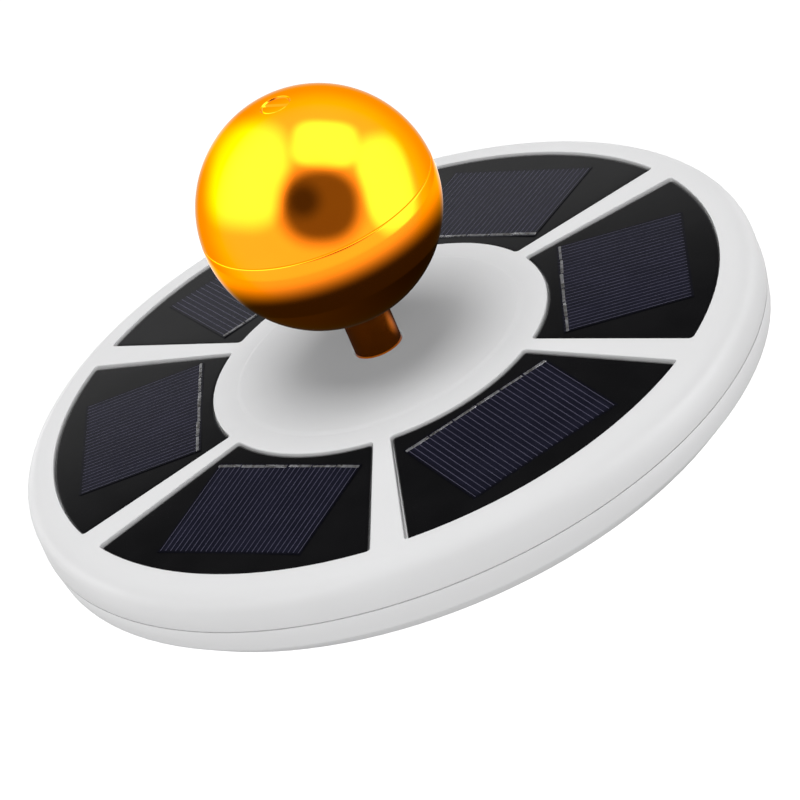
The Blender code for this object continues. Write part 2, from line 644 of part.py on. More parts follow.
def make_control_board(board_material, chip_material, connector_material):
    """The charge controller on its standoffs above the lamp tray."""
    place = polar(LED_CIRCLE, BOARD_ANGLE)
    low = TRAY_TOP + STANDOFF_HEIGHT + GAP
    high = low + BOARD_THICKNESS
    box_piece("control_board", (-BOARD_WIDTH / 2, -BOARD_LENGTH / 2, low),
              (BOARD_WIDTH / 2, BOARD_LENGTH / 2, high), board_material, place, BOARD_ANGLE)
    part_low = high + GAP
    half = CHIP_SIZE / 2
    box_piece("control_chip", (-half, -half - BOARD_PART_SPREAD, part_low),
              (half, half - BOARD_PART_SPREAD, part_low + CHIP_HEIGHT), chip_material, place, BOARD_ANGLE)
    depth, width, height = CONNECTOR_SIZE
    box_piece("battery_connector", (-depth / 2, BOARD_PART_SPREAD - width / 2, part_low),
              (depth / 2, BOARD_PART_SPREAD + width / 2, part_low + height),
              connector_material, place, BOARD_ANGLE)


def make_battery(materials):
    """Holder, rechargeable cell, contact plate and contact spring."""
    place = polar(BATTERY_PLACE_RADIUS, BATTERY_ANGLE)
    half_width = HOLDER_HALF_WIDTH
    half_length = BATTERY_HALF_BAY + HOLDER_WALL
    low = FLOOR_TOP + GAP
    high = low + HOLDER_HEIGHT
    holder = box_piece("battery_holder", (-half_width, -half_length, low), (half_width, half_length, high),
                       materials["holder"], place, BATTERY_ANGLE)
    bay = bmesh.new()
    inside = half_width - HOLDER_WALL
    box_in(bay, (-inside, -BATTERY_HALF_BAY, low - HOLDER_WALL),
           (inside, BATTERY_HALF_BAY, high + HOLDER_WALL))
    cut(holder, add_cutter("battery_bay", mesh_from(bay, "battery_bay"), place, BATTERY_ANGLE))

    nub_base = BATTERY_TAIL + BATTERY_BODY_LENGTH
    nub_end = nub_base + BATTERY_NUB_LENGTH
    outline = [
        (0.0, nub_end),
        (BATTERY_NUB_RADIUS, nub_end),
        (BATTERY_NUB_RADIUS, nub_base),
        (BATTERY_RADIUS, nub_base),
        (BATTERY_RADIUS, BATTERY_TAIL),
        (0.0, BATTERY_TAIL),
    ]
    cell = turned("battery_cell", outline, materials["battery"], closed=False)
    cell.location = polar(BATTERY_PLACE_RADIUS, BATTERY_ANGLE, BATTERY_AXIS_HEIGHT)
    cell.rotation_euler = (-math.pi / 2, 0.0, BATTERY_ANGLE)

    axis_place = polar(BATTERY_PLACE_RADIUS, BATTERY_ANGLE, BATTERY_AXIS_HEIGHT)
    plate_near = nub_end + GAP
    box_piece("battery_contact", (-CONTACT_WIDTH / 2, plate_near, -CONTACT_HEIGHT / 2),
              (CONTACT_WIDTH / 2, plate_near + CONTACT_THICKNESS, CONTACT_HEIGHT / 2),
              materials["contact"], axis_place, BATTERY_ANGLE)
    make_battery_spring(materials["contact"], axis_place)


def make_battery_spring(material, place):
    """The tapered contact spring, wound along the battery's axis."""
    curve = bpy.data.curves.new("battery_spring", "CURVE")
    curve.dimensions = "3D"
    curve.bevel_depth = SPRING_WIRE_RADIUS
    curve.bevel_resolution = 1
    curve.use_fill_caps = True
    count = SPRING_TURNS * SPRING_POINTS_PER_TURN + 1
    spline = curve.splines.new("POLY")
    spline.points.add(count - 1)
    start = -BATTERY_HALF_BAY + GAP + SPRING_WIRE_RADIUS
    reach = SPRING_LENGTH - 2 * SPRING_WIRE_RADIUS
    for index, point in enumerate(spline.points):
        share = index / (count - 1)
        angle = math.tau * SPRING_TURNS * share
        radius = SPRING_BASE_RADIUS + (SPRING_TIP_RADIUS - SPRING_BASE_RADIUS) * share
        point.co = (radius * math.cos(angle), start + reach * share, radius * math.sin(angle), 1.0)
    spring = bpy.data.objects.new("battery_spring", curve)
    curve.materials.append(material)
    spring.location = place
    spring.rotation_euler = (0.0, 0.0, BATTERY_ANGLE)
    PARTS.objects.link(spring)
    weld = spring.modifiers.new("Close the ends", "WELD")
    weld.merge_threshold = 0.00001


def make_battery_door(door_material, pin_material):
    """The hinged door, with its origin on the hinge axis, and the hinge pin."""
    hinge_radius = BATTERY_PLACE_RADIUS + HINGE_OFFSET
    place = polar(hinge_radius, BATTERY_ANGLE, HINGE_HEIGHT)
    bottom = -HINGE_BARREL_RADIUS
    door = box_piece("battery_door", (DOOR_INNER, -DOOR_HALF_LENGTH, bottom),
                     (0.0, DOOR_HALF_LENGTH, bottom + DOOR_THICKNESS), door_material, place, BATTERY_ANGLE)
    barrel = bmesh.new()
    bar_in(barrel, HINGE_BARREL_RADIUS, DOOR_HALF_LENGTH - GAP, (0.0, 0.0))
    cut(door, add_cutter("door_barrel", mesh_from(barrel, "door_barrel"), place, BATTERY_ANGLE), "UNION")
    bore = bmesh.new()
    bar_in(bore, HINGE_HOLE_RADIUS, DOOR_HALF_LENGTH + GAP, (0.0, 0.0))
    cut(door, add_cutter("door_bore", mesh_from(bore, "door_bore"), place, BATTERY_ANGLE))
    notch = bmesh.new()
    cylinder_in(notch, FINGER_NOTCH_RADIUS, bottom - GAP, bottom + FINGER_NOTCH_DEPTH, (DOOR_INNER, 0.0))
    cut(door, add_cutter("finger_notch", mesh_from(notch, "finger_notch"), place, BATTERY_ANGLE))

    pin = bmesh.new()
    bar_in(pin, HINGE_PIN_RADIUS, DOOR_HALF_LENGTH + HINGE_PIN_OVERHANG, (0.0, 0.0))
    add_object("door_hinge_pin", mesh_from(pin, "door_hinge_pin"), PARTS, pin_material, place, BATTERY_ANGLE)


def make_switch(body_material, button_material, nut_material):
    """The push switch: body inside, sprung button through the floor, nut outside."""
    place = polar(SWITCH_PLACE_RADIUS, SWITCH_ANGLE)
    flange_low = FLOOR_TOP + 2 * GAP
    flange_high = flange_low + BUTTON_FLANGE_HEIGHT
    body_low = FLOOR_TOP + GAP
    half = SWITCH_BODY_SIZE / 2
    body = box_piece("switch_body", (-half, -half, body_low), (half, half, body_low + SWITCH_BODY_HEIGHT),
                     body_material, place, SWITCH_ANGLE)
    well = bmesh.new()
    cylinder_in(well, BUTTON_RADIUS + BUTTON_FLANGE + GAP, body_low - GAP, flange_high + BUTTON_TRAVEL + GAP,
                steps=ROUND_STEPS)
    cut(body, add_cutter("switch_well", mesh_from(well, "switch_well"), place, SWITCH_ANGLE))

    outline = [
        (0.0, flange_high),
        (BUTTON_RADIUS + BUTTON_FLANGE, flange_high),
        (BUTTON_RADIUS + BUTTON_FLANGE, flange_low),
        (BUTTON_RADIUS, flange_low),
        (BUTTON_RADIUS, UNDERSIDE - BUTTON_STANDOUT),
        (0.0, UNDERSIDE - BUTTON_STANDOUT),
    ]
    turned("switch_button", outline, button_material, closed=False).location = place

    nut_inner = BUTTON_RADIUS + GAP
    nut_outer = nut_inner + SWITCH_NUT_WIDTH
    nut_high = UNDERSIDE + SWITCH_NUT_SUNK
    nut_low = UNDERSIDE - SWITCH_NUT_STANDOUT
    nut = [(nut_outer, nut_high), (nut_outer, nut_low), (nut_inner, nut_low), (nut_inner, nut_high)]
    turned("switch_nut", nut, nut_material).location = place


def make_spindle(material):
    """The rod that carries the ball: through the light and on into the pole."""
    low = -SPINDLE_PROJECTION
    high = BALL_CENTRE - BALL_RADIUS + BALL_WALL + BALL_INSERT_HEIGHT
    narrow = SPINDLE_RADIUS - SPINDLE_CHAMFER
    outline = [
        (0.0, high),
        (narrow, high),
        (SPINDLE_RADIUS, high - SPINDLE_CHAMFER),
        (SPINDLE_RADIUS, low + SPINDLE_CHAMFER),
        (narrow, low),
        (0.0, low),
    ]
    turned("spindle", outline, material, closed=False)


def hole_angle(sphere_radius, hole_radius):
    """Degrees above the equator where a sphere reaches an upright hole's wall."""
    return math.degrees(math.acos(hole_radius / sphere_radius))


def seam_angle(sphere_radius, height):
    """Degrees above the equator where a sphere reaches a height."""
    return math.degrees(math.asin(height / sphere_radius))


def ball_shell(name, start, end, material):
    """Part of the hollow ball; start and end give the angle of each edge on a sphere."""
    inner_radius = BALL_RADIUS - BALL_WALL
    outer = arc((0.0, 0.0), BALL_RADIUS, start(BALL_RADIUS), end(BALL_RADIUS), BALL_ARC_POINTS)
    inner = arc((0.0, 0.0), inner_radius, end(inner_radius), start(inner_radius), BALL_ARC_POINTS)
    return turned(name, outer + inner, material, steps=RING_STEPS, height=BALL_CENTRE)


def make_ball(shell_material, insert_material):
    """The two half shells, the threaded insert below and the slotted plug on top."""
    ball_shell("ball_upper_shell", lambda radius: hole_angle(radius, BALL_HOLE_RADIUS),
               lambda radius: seam_angle(radius, BALL_SEAM_RISE + GAP / 2), shell_material)
    ball_shell("ball_lower_shell", lambda radius: seam_angle(radius, BALL_SEAM_RISE - GAP / 2),
               lambda radius: -hole_angle(radius, BORE_RADIUS), shell_material)

    insert_radius = BORE_RADIUS + BALL_INSERT_WALL
    insert_low = -math.sqrt((BALL_RADIUS - BALL_WALL) ** 2 - insert_radius ** 2) + GAP
    insert_high = insert_low + BALL_INSERT_HEIGHT
    insert = [(insert_radius, insert_high), (insert_radius, insert_low), (BORE_RADIUS, insert_low),
              (BORE_RADIUS, insert_high)]
    turned("ball_insert", insert, insert_material, height=BALL_CENTRE)

    plug_top = math.sqrt(BALL_RADIUS ** 2 - BALL_HOLE_RADIUS ** 2) - BALL_PLUG_SUNK
    plug_radius = BALL_HOLE_RADIUS - GAP
    outline = [(0.0, plug_top), (plug_radius, plug_top), (plug_radius, plug_top - BALL_PLUG_HEIGHT),
               (0.0, plug_top - BALL_PLUG_HEIGHT)]
    plug = turned("ball_plug", outline, insert_material, closed=False, height=BALL_CENTRE)
    slot = bmesh.new()
    box_in(slot, (-BALL_HOLE_RADIUS, -BALL_PLUG_SLOT_WIDTH / 2, plug_top - BALL_PLUG_SLOT_DEPTH),
           (BALL_HOLE_RADIUS, BALL_PLUG_SLOT_WIDTH / 2, plug_top + BALL_PLUG_SLOT_DEPTH))
    cut(plug, add_cutter("plug_slot", mesh_from(slot, "plug_slot"), (0.0, 0.0, BALL_CENTRE)))


for old in list(bpy.data.objects):
    bpy.data.objects.remove(old, do_unlink=True)

PARTS = new_collection("solar_flagpole_light")
CUTTERS = new_collection("cutters")

WHITE_PLASTIC = new_material("white_plastic", (0.86, 0.86, 0.86), 0.42)
RUBBER = new_material("black_rubber", (0.03, 0.03, 0.03), 0.8)
STEEL = new_material("steel", (0.62, 0.62, 0.60), 0.35, 1.0)
GOLD = new_material("gold_anodised", (0.95, 0.62, 0.12), 0.28, 1.0)
BLACK_PLASTIC = new_material("black_plastic", (0.03, 0.03, 0.035), 0.5)
GREEN_BOARD = new_material("circuit_board", (0.02, 0.16, 0.07), 0.5)

make_upper_housing(WHITE_PLASTIC)
make_lower_housing(WHITE_PLASTIC)
make_housing_seal(RUBBER)
make_hub_sleeve(STEEL)
make_solar_panels(new_material("black_epoxy", (0.008, 0.008, 0.01), 0.15),
                  new_material("solar_cell", (0.012, 0.012, 0.028), 0.25))
make_screws(STEEL)
make_lamp({
    "led_board": new_material("white_board", (0.8, 0.8, 0.78), 0.5),
    "led": new_material("led_phosphor", (0.95, 0.85, 0.35), 0.4),
    "reflector": new_material("bright_reflector", (0.85, 0.85, 0.86), 0.15, 1.0),
    "lens": new_material("clear_lens", (0.85, 0.9, 0.92), 0.08),
    "rubber": RUBBER,
})
make_control_board(GREEN_BOARD, BLACK_PLASTIC, new_material("ivory_plastic", (0.8, 0.78, 0.7), 0.5))
make_battery({
    "holder": BLACK_PLASTIC,
    "battery": new_material("battery_sleeve", (0.05, 0.2, 0.5), 0.35),
    "contact": STEEL,
})
make_battery_door(WHITE_PLASTIC, STEEL)
make_switch(BLACK_PLASTIC, new_material("grey_button", (0.25, 0.25, 0.26), 0.6), BLACK_PLASTIC)
make_spindle(GOLD)
make_ball(GOLD, STEEL)
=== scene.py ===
"""Looks of the solar flagpole light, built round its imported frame.

Metres, +Z up along the pole. The origin is on the axis, at the flange of the hub
sleeve. Each sub-assembly is a class that holds its sizes and builds its pieces,
each finish is a frozen dataclass, and main() builds them all in order.
"""

import json
import logging
import math
import random
from dataclasses import dataclass, field
from enum import Enum
from typing import Callable, Iterable, Sequence

import bmesh
import bpy
from mathutils import Matrix, Vector

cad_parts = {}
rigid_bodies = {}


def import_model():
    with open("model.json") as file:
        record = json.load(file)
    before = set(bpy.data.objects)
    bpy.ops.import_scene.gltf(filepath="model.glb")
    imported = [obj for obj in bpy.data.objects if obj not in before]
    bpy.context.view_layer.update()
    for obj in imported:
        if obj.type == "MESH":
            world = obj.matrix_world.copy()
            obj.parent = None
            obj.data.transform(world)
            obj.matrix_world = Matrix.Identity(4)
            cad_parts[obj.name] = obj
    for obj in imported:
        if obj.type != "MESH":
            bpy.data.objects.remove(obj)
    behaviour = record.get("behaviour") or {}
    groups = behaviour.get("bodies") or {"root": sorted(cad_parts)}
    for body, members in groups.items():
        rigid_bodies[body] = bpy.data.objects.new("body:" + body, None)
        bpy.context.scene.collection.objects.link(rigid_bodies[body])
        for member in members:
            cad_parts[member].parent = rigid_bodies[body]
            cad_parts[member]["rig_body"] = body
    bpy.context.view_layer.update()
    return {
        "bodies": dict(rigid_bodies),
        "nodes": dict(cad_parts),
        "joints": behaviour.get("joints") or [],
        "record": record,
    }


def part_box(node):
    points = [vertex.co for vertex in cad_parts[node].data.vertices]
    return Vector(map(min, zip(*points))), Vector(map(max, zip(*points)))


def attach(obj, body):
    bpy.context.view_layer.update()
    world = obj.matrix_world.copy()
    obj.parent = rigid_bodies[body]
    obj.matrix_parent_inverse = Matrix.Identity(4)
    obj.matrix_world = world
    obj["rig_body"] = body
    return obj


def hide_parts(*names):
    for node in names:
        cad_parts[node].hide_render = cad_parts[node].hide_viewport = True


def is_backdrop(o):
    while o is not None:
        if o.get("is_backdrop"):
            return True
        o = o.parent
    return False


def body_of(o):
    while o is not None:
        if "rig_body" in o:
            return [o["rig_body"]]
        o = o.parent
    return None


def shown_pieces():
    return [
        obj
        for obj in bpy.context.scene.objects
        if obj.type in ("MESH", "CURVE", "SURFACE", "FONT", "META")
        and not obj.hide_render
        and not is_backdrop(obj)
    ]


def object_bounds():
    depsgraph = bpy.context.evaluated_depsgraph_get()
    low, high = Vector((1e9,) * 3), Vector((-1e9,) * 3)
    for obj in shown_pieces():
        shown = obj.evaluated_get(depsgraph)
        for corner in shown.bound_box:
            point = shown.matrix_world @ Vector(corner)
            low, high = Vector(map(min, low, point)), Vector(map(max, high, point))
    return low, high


LOG = logging.getLogger("solar_flagpole_light")

Point = tuple[float, float]
Colour = tuple[float, float, float]
Socket = bpy.types.NodeSocket

MERGE = 1e-6
OVERSHOOT = 0.001
CLEARANCE = 0.0003
CREASE = 45.0
STEEP = 60.0
FACING = 0.9
SMOOTH_ANGLE = math.radians(32)
PANELS = 6
SECTOR = math.tau / PANELS
ROD_BORE = 0.00665
SCREW_CIRCLE = 0.0838
SWITCH_BORE = 0.0048
SWITCH_RADIUS = 0.0700
SWITCH_ANGLE = math.radians(210)


class Body(Enum):
    """The bodies of the frame that pieces ride on."""

    HOUSING = "housing"
    ROD = "rod"
    BALL = "ball"
    DOOR = "door"
    BUTTON = "button"


class Slot(Enum):
    """The record's material slots."""

    WHITE = "white_plastic"
    RUBBER = "black_rubber"
    EPOXY = "black_epoxy"
    CELL = "solar_cell"
    STEEL = "steel"
    NICKEL = "nickel_contact"
    GOLD = "gold_anodised"
    LED_BOARD = "white_board"
    PHOSPHOR = "led_phosphor"
    REFLECTOR = "bright_reflector"
    LENS = "clear_lens"
    CIRCUIT = "circuit_board"
    BLACK = "black_plastic"
    IVORY = "ivory_plastic"
    SLEEVE = "battery_sleeve"
    BUTTON = "grey_button"


class Cut(Enum):
    """How one solid changes another."""

    TAKE = "DIFFERENCE"
    JOIN = "UNION"


# ---------------------------------------------------------------- node building


class NodeBoard:
    """Adds and joins the nodes of one tree."""

    def __init__(self, tree: bpy.types.NodeTree) -> None:
        """Start with an empty tree.

        Args:
            tree: The tree to fill.
        """
        self.tree = tree
        tree.nodes.clear()

    def add(self, kind: str, inputs: dict | None = None, **settings: object) -> bpy.types.Node:
        """Add a node.

        Args:
            kind: The node's type, without its ShaderNode prefix.
            inputs: Values or sockets, by the name or number of the input.
            settings: The node's own properties.

        Returns:
            The new node.
        """
        prefix = "" if kind.startswith("NodeGroup") else "ShaderNode"
        node = self.tree.nodes.new(prefix + kind)
        for name, value in settings.items():
            setattr(node, name, value)
        for name, value in (inputs or {}).items():
            if isinstance(value, Socket):
                self.tree.links.new(value, node.inputs[name])
            else:
                node.inputs[name].default_value = value
        return node

    def math(self, operation: str, *values: "float | Socket", clamp: bool = False) -> Socket:
        """Add a Math node and return its result.

        Args:
            operation: The node's operation.
            values: Its inputs in order.
            clamp: Whether the result is held between 0 and 1.

        Returns:
            The output socket.
        """
        inputs = dict(enumerate(values))
        return self.add("Math", inputs, operation=operation, use_clamp=clamp).outputs[0]

    def here(self) -> Socket:
        """Return the Object coordinates of the shaded point."""
        return self.add("TexCoord").outputs["Object"]

    def one_sided(self, front: Socket) -> None:
        """Show a shader on a material's front alone, and leave its back clear."""
        clear = self.add("BsdfTransparent").outputs[0]
        behind = self.add("NewGeometry").outputs["Backfacing"]
        mixed = self.add("MixShader", {0: behind, 1: front, 2: clear})
        self.add("OutputMaterial", {"Surface": mixed.outputs[0]})

    def dot(self, vector: Socket, direction: Sequence[float]) -> Socket:
        """Return the dot product of a vector socket and a fixed direction."""
        node = self.add("VectorMath", {0: vector, 1: tuple(direction)}, operation="DOT_PRODUCT")
        return node.outputs["Value"]

    def ramp(self, value: Socket, low: float, high: float, start: "float | Socket" = 0.0,
             end: "float | Socket" = 1.0, soft: bool = True) -> Socket:
        """Map a value from one range to another, held at both ends.

        Args:
            value: The value to map.
            low: Where the result is start.
            high: Where the result is end.
            start: The result at low.
            end: The result at high.
            soft: Whether the ends are eased.

        Returns:
            The output socket.
        """
        kind = "SMOOTHSTEP" if soft else "LINEAR"
        inputs = {"Value": value, "From Min": low, "From Max": high, "To Min": start, "To Max": end}
        return self.add("MapRange", inputs, interpolation_type=kind, clamp=True).outputs[0]

    def mix(self, share: "float | Socket", low: "Colour | Socket", high: "Colour | Socket") -> Socket:
        """Mix two colours.

        Args:
            share: How much of the second colour there is.
            low: The first colour.
            high: The second colour.

        Returns:
            The colour socket.
        """
        colours = [c if isinstance(c, Socket) else (*c, 1.0) for c in (low, high)]
        inputs = {0: share, 6: colours[0], 7: colours[1]}
        return self.add("Mix", inputs, data_type="RGBA").outputs[2]


def node_group(name: str, inputs: dict[str, float], outputs: Sequence[str]) -> tuple[NodeBoard, dict, dict]:
    """Start a shader node group with named number sockets.

    Args:
        name: The group's name.
        inputs: Each input and its default.
        outputs: The names of the outputs.

    Returns:
        The board, the sockets that give the inputs, and the sockets that take the outputs.
    """
    tree = bpy.data.node_groups.new(name, "ShaderNodeTree")
    board = NodeBoard(tree)
    for socket, value in inputs.items():
        made = tree.interface.new_socket(socket, in_out="INPUT", socket_type="NodeSocketFloat")
        made.default_value = value
    for socket in outputs:
        tree.interface.new_socket(socket, in_out="OUTPUT", socket_type="NodeSocketFloat")
    entry = board.add("NodeGroupInput")
    leave = board.add("NodeGroupOutput")
    return board, {s: entry.outputs[s] for s in inputs}, {s: leave.inputs[s] for s in outputs}


def blank_material(name: str) -> tuple[bpy.types.Material, NodeBoard]:
    """Start a material, and return it with the board of its empty tree."""
    made = bpy.data.materials.new(name)
    made.use_nodes = True
    return made, NodeBoard(made.node_tree)


class Effects:
    """The node groups that several finishes share, each built once."""

    @staticmethod
    def group(name: str, build: Callable[[], bpy.types.NodeTree]) -> bpy.types.NodeTree:
        """Return a group by name, and build it the first time."""
        return bpy.data.node_groups.get(name) or build()

    @staticmethod
    def grain() -> bpy.types.NodeTree:
        """Cloudy tone and fine grain of a moulded, cast or plated surface."""
        board, given, wanted = node_group(
            "surface_grain", {"Cloud Scale": 60.0, "Grain Scale": 2500.0}, ("Tone", "Height"))
        place = board.here()
        cloud = board.add("TexNoise", {"Vector": place, "Scale": given["Cloud Scale"], "Detail": 3.0,
                                       "Roughness": 0.55})
        grain = board.add("TexNoise", {"Vector": place, "Scale": given["Grain Scale"], "Detail": 2.0})
        tone = board.ramp(cloud.outputs[0], 0.3, 0.7)
        board.tree.links.new(tone, wanted["Tone"])
        board.tree.links.new(grain.outputs[0], wanted["Height"])
        return board.tree

    @staticmethod
    def turning() -> bpy.types.NodeTree:
        """Fine rings left by turning round the axis, broken up a little."""
        board, given, wanted = node_group(
            "turning_marks", {"Pitch": 0.0004, "Break Up": 0.3}, ("Tone", "Height"))
        place = board.here()
        parts = board.add("SeparateXYZ", {0: place})
        across = board.math("MULTIPLY", parts.outputs["X"], parts.outputs["X"])
        square = board.math("MULTIPLY_ADD", parts.outputs["Y"], parts.outputs["Y"], across)
        radius = board.math("SQRT", square)
        depth = board.math("ADD", radius, parts.outputs["Z"])
        noise = board.add("TexNoise", {"Vector": place, "Scale": 900.0, "Detail": 2.0}).outputs[0]
        turns = board.math("DIVIDE", depth, given["Pitch"])
        shifted = board.math("MULTIPLY_ADD", noise, board.math("MULTIPLY", given["Break Up"], 12.0), turns)
        wave = board.math("MULTIPLY_ADD", board.math("SINE", shifted), 0.5, 0.5)
        board.tree.links.new(wave, wanted["Height"])
        board.tree.links.new(board.math("MULTIPLY_ADD", wave, 0.4, board.math("MULTIPLY", noise, 0.6)),
                             wanted["Tone"])
        return board.tree


# ---------------------------------------------------------------- finishes


@dataclass(frozen=True)
class Finish:
    """A surface with a cloudy tone, a varying roughness and a fine bump."""

    name: str
    base: Colour
    deep: Colour
    rough: Point = (0.4, 0.46)
    cloud_scale: float = 60.0
    grain_scale: float = 2500.0
    bump: float = 0.05
    bump_depth: float = 0.00005
    metallic: float = 0.0
    specular: float = 0.5
    coat: float = 0.0
    coat_rough: float = 0.03
    ior: float = 1.5
    edge_tint: Colour = (1.0, 1.0, 1.0)

    def effect(self, board: NodeBoard) -> tuple[Socket, Socket]:
        """Place the shared effect and return its tone and height."""
        group = board.add("Group", node_tree=Effects.group("surface_grain", Effects.grain))
        group.inputs["Cloud Scale"].default_value = self.cloud_scale
        group.inputs["Grain Scale"].default_value = self.grain_scale
        return group.outputs["Tone"], group.outputs["Height"]

    def colour(self, board: NodeBoard, tone: Socket) -> Socket:
        """Return the colour for a tone."""
        return board.mix(tone, self.base, self.deep)

    def dress(self, board: NodeBoard, shader: bpy.types.Node, tone: Socket) -> None:
        """Change more of the shader; plain finishes leave it."""

    def build(self) -> bpy.types.Material:
        """Build the material, or return it if it is there already."""
        made = bpy.data.materials.get(self.name)
        if made:
            return made
        made, board = blank_material(self.name)
        tone, height = self.effect(board)
        bump = board.add("Bump", {"Strength": self.bump, "Distance": self.bump_depth, "Height": height})
        shader = board.add("BsdfPrincipled", {
            "Base Color": self.colour(board, tone),
            "Roughness": board.ramp(tone, 0.0, 1.0, *self.rough, soft=False),
            "Metallic": self.metallic,
            "IOR": self.ior,
            "Specular IOR Level": self.specular,
            "Specular Tint": (*self.edge_tint, 1.0),
            "Coat Weight": self.coat,
            "Coat Roughness": self.coat_rough,
            "Normal": bump.outputs[0],
        })
        self.dress(board, shader, tone)
        board.add("OutputMaterial", {"Surface": shader.outputs[0]})
        return made


@dataclass(frozen=True)
class TurnedMetal(Finish):
    """Metal with fine turning rings."""

    pitch: float = 0.00012

    def effect(self, board: NodeBoard) -> tuple[Socket, Socket]:
        """Place the turning marks."""
        group = board.add("Group", node_tree=Effects.group("turning_marks", Effects.turning))
        group.inputs["Pitch"].default_value = self.pitch
        return group.outputs["Tone"], group.outputs["Height"]


@dataclass(frozen=True)
class Wafer(Finish):
    """The silicon of a solar cell, faintly mottled, with a darker printed border."""

    border: float = 0.04
    crystal_scale: float = 420.0

    def colour(self, board: NodeBoard, tone: Socket) -> Socket:
        """Mottle the silicon and darken its border."""
        plain = board.mix(tone, self.base, self.deep)
        crystal = board.add("TexVoronoi", {"Scale": self.crystal_scale, "Vector": board.here()})
        flecks = board.ramp(crystal.outputs["Distance"], 0.0, 0.7, 0.0, 0.35)
        mottled = board.mix(flecks, plain, self.deep)
        place = board.add("SeparateXYZ", {0: board.add("UVMap", uv_map="cell_plan").outputs[0]})
        sides = [board.math("ABSOLUTE", board.math("SUBTRACT", place.outputs[axis], 0.5)) for axis in "XY"]
        edge = board.ramp(board.math("MAXIMUM", *sides), 0.5 - self.border, 0.5 - self.border / 3)
        dark = tuple(0.45 * c for c in self.deep)
        return board.mix(edge, mottled, dark)


@dataclass(frozen=True)
class Solder(Finish):
    """Bright ribbon with dull, wavy patches of flux."""

    flux: Colour = (0.24, 0.23, 0.22)

    def colour(self, board: NodeBoard, tone: Socket) -> Socket:
        """Streak the ribbon with flux."""
        place = board.here()
        streak = board.add("TexNoise", {"Vector": place, "Scale": 700.0, "Detail": 4.0, "Distortion": 0.8})
        share = board.ramp(streak.outputs[0], 0.45, 0.6)
        return board.mix(share, board.mix(tone, self.base, self.deep), self.flux)


@dataclass(frozen=True)
class CircuitBoard(Finish):
    """Solder resist over copper traces."""

    trace: Colour = (0.05, 0.27, 0.12)
    trace_scale: float = 240.0

    def colour(self, board: NodeBoard, tone: Socket) -> Socket:
        """Draw the traces under the resist."""
        place = board.here()
        cells = board.add("TexBrick", {"Vector": place, "Scale": self.trace_scale, "Mortar Size": 0.06,
                                       "Color1": (0, 0, 0, 1), "Color2": (0, 0, 0, 1),
                                       "Mortar": (1, 1, 1, 1)})
        return board.mix(cells.outputs["Color"], board.mix(tone, self.base, self.deep), self.trace)


@dataclass(frozen=True)
class ClearPlastic(Finish):
    """Clear moulded plastic."""

    def dress(self, board: NodeBoard, shader: bpy.types.Node, tone: Socket) -> None:
        """Let the light through."""
        shader.inputs["Transmission Weight"].default_value = 1.0


@dataclass(frozen=True)
class Phosphor(Finish):
    """LED phosphor, speckled in two yellows."""

    centre: Colour = (1.0, 0.86, 0.32)

    def colour(self, board: NodeBoard, tone: Socket) -> Socket:
        """Mix the two phosphor tones with the grain."""
        place = board.here()
        specks = board.add("TexVoronoi", {"Vector": place, "Scale": 6000.0}).outputs["Distance"]
        return board.mix(board.ramp(specks, 0.1, 0.6), self.centre, board.mix(tone, self.base, self.deep))


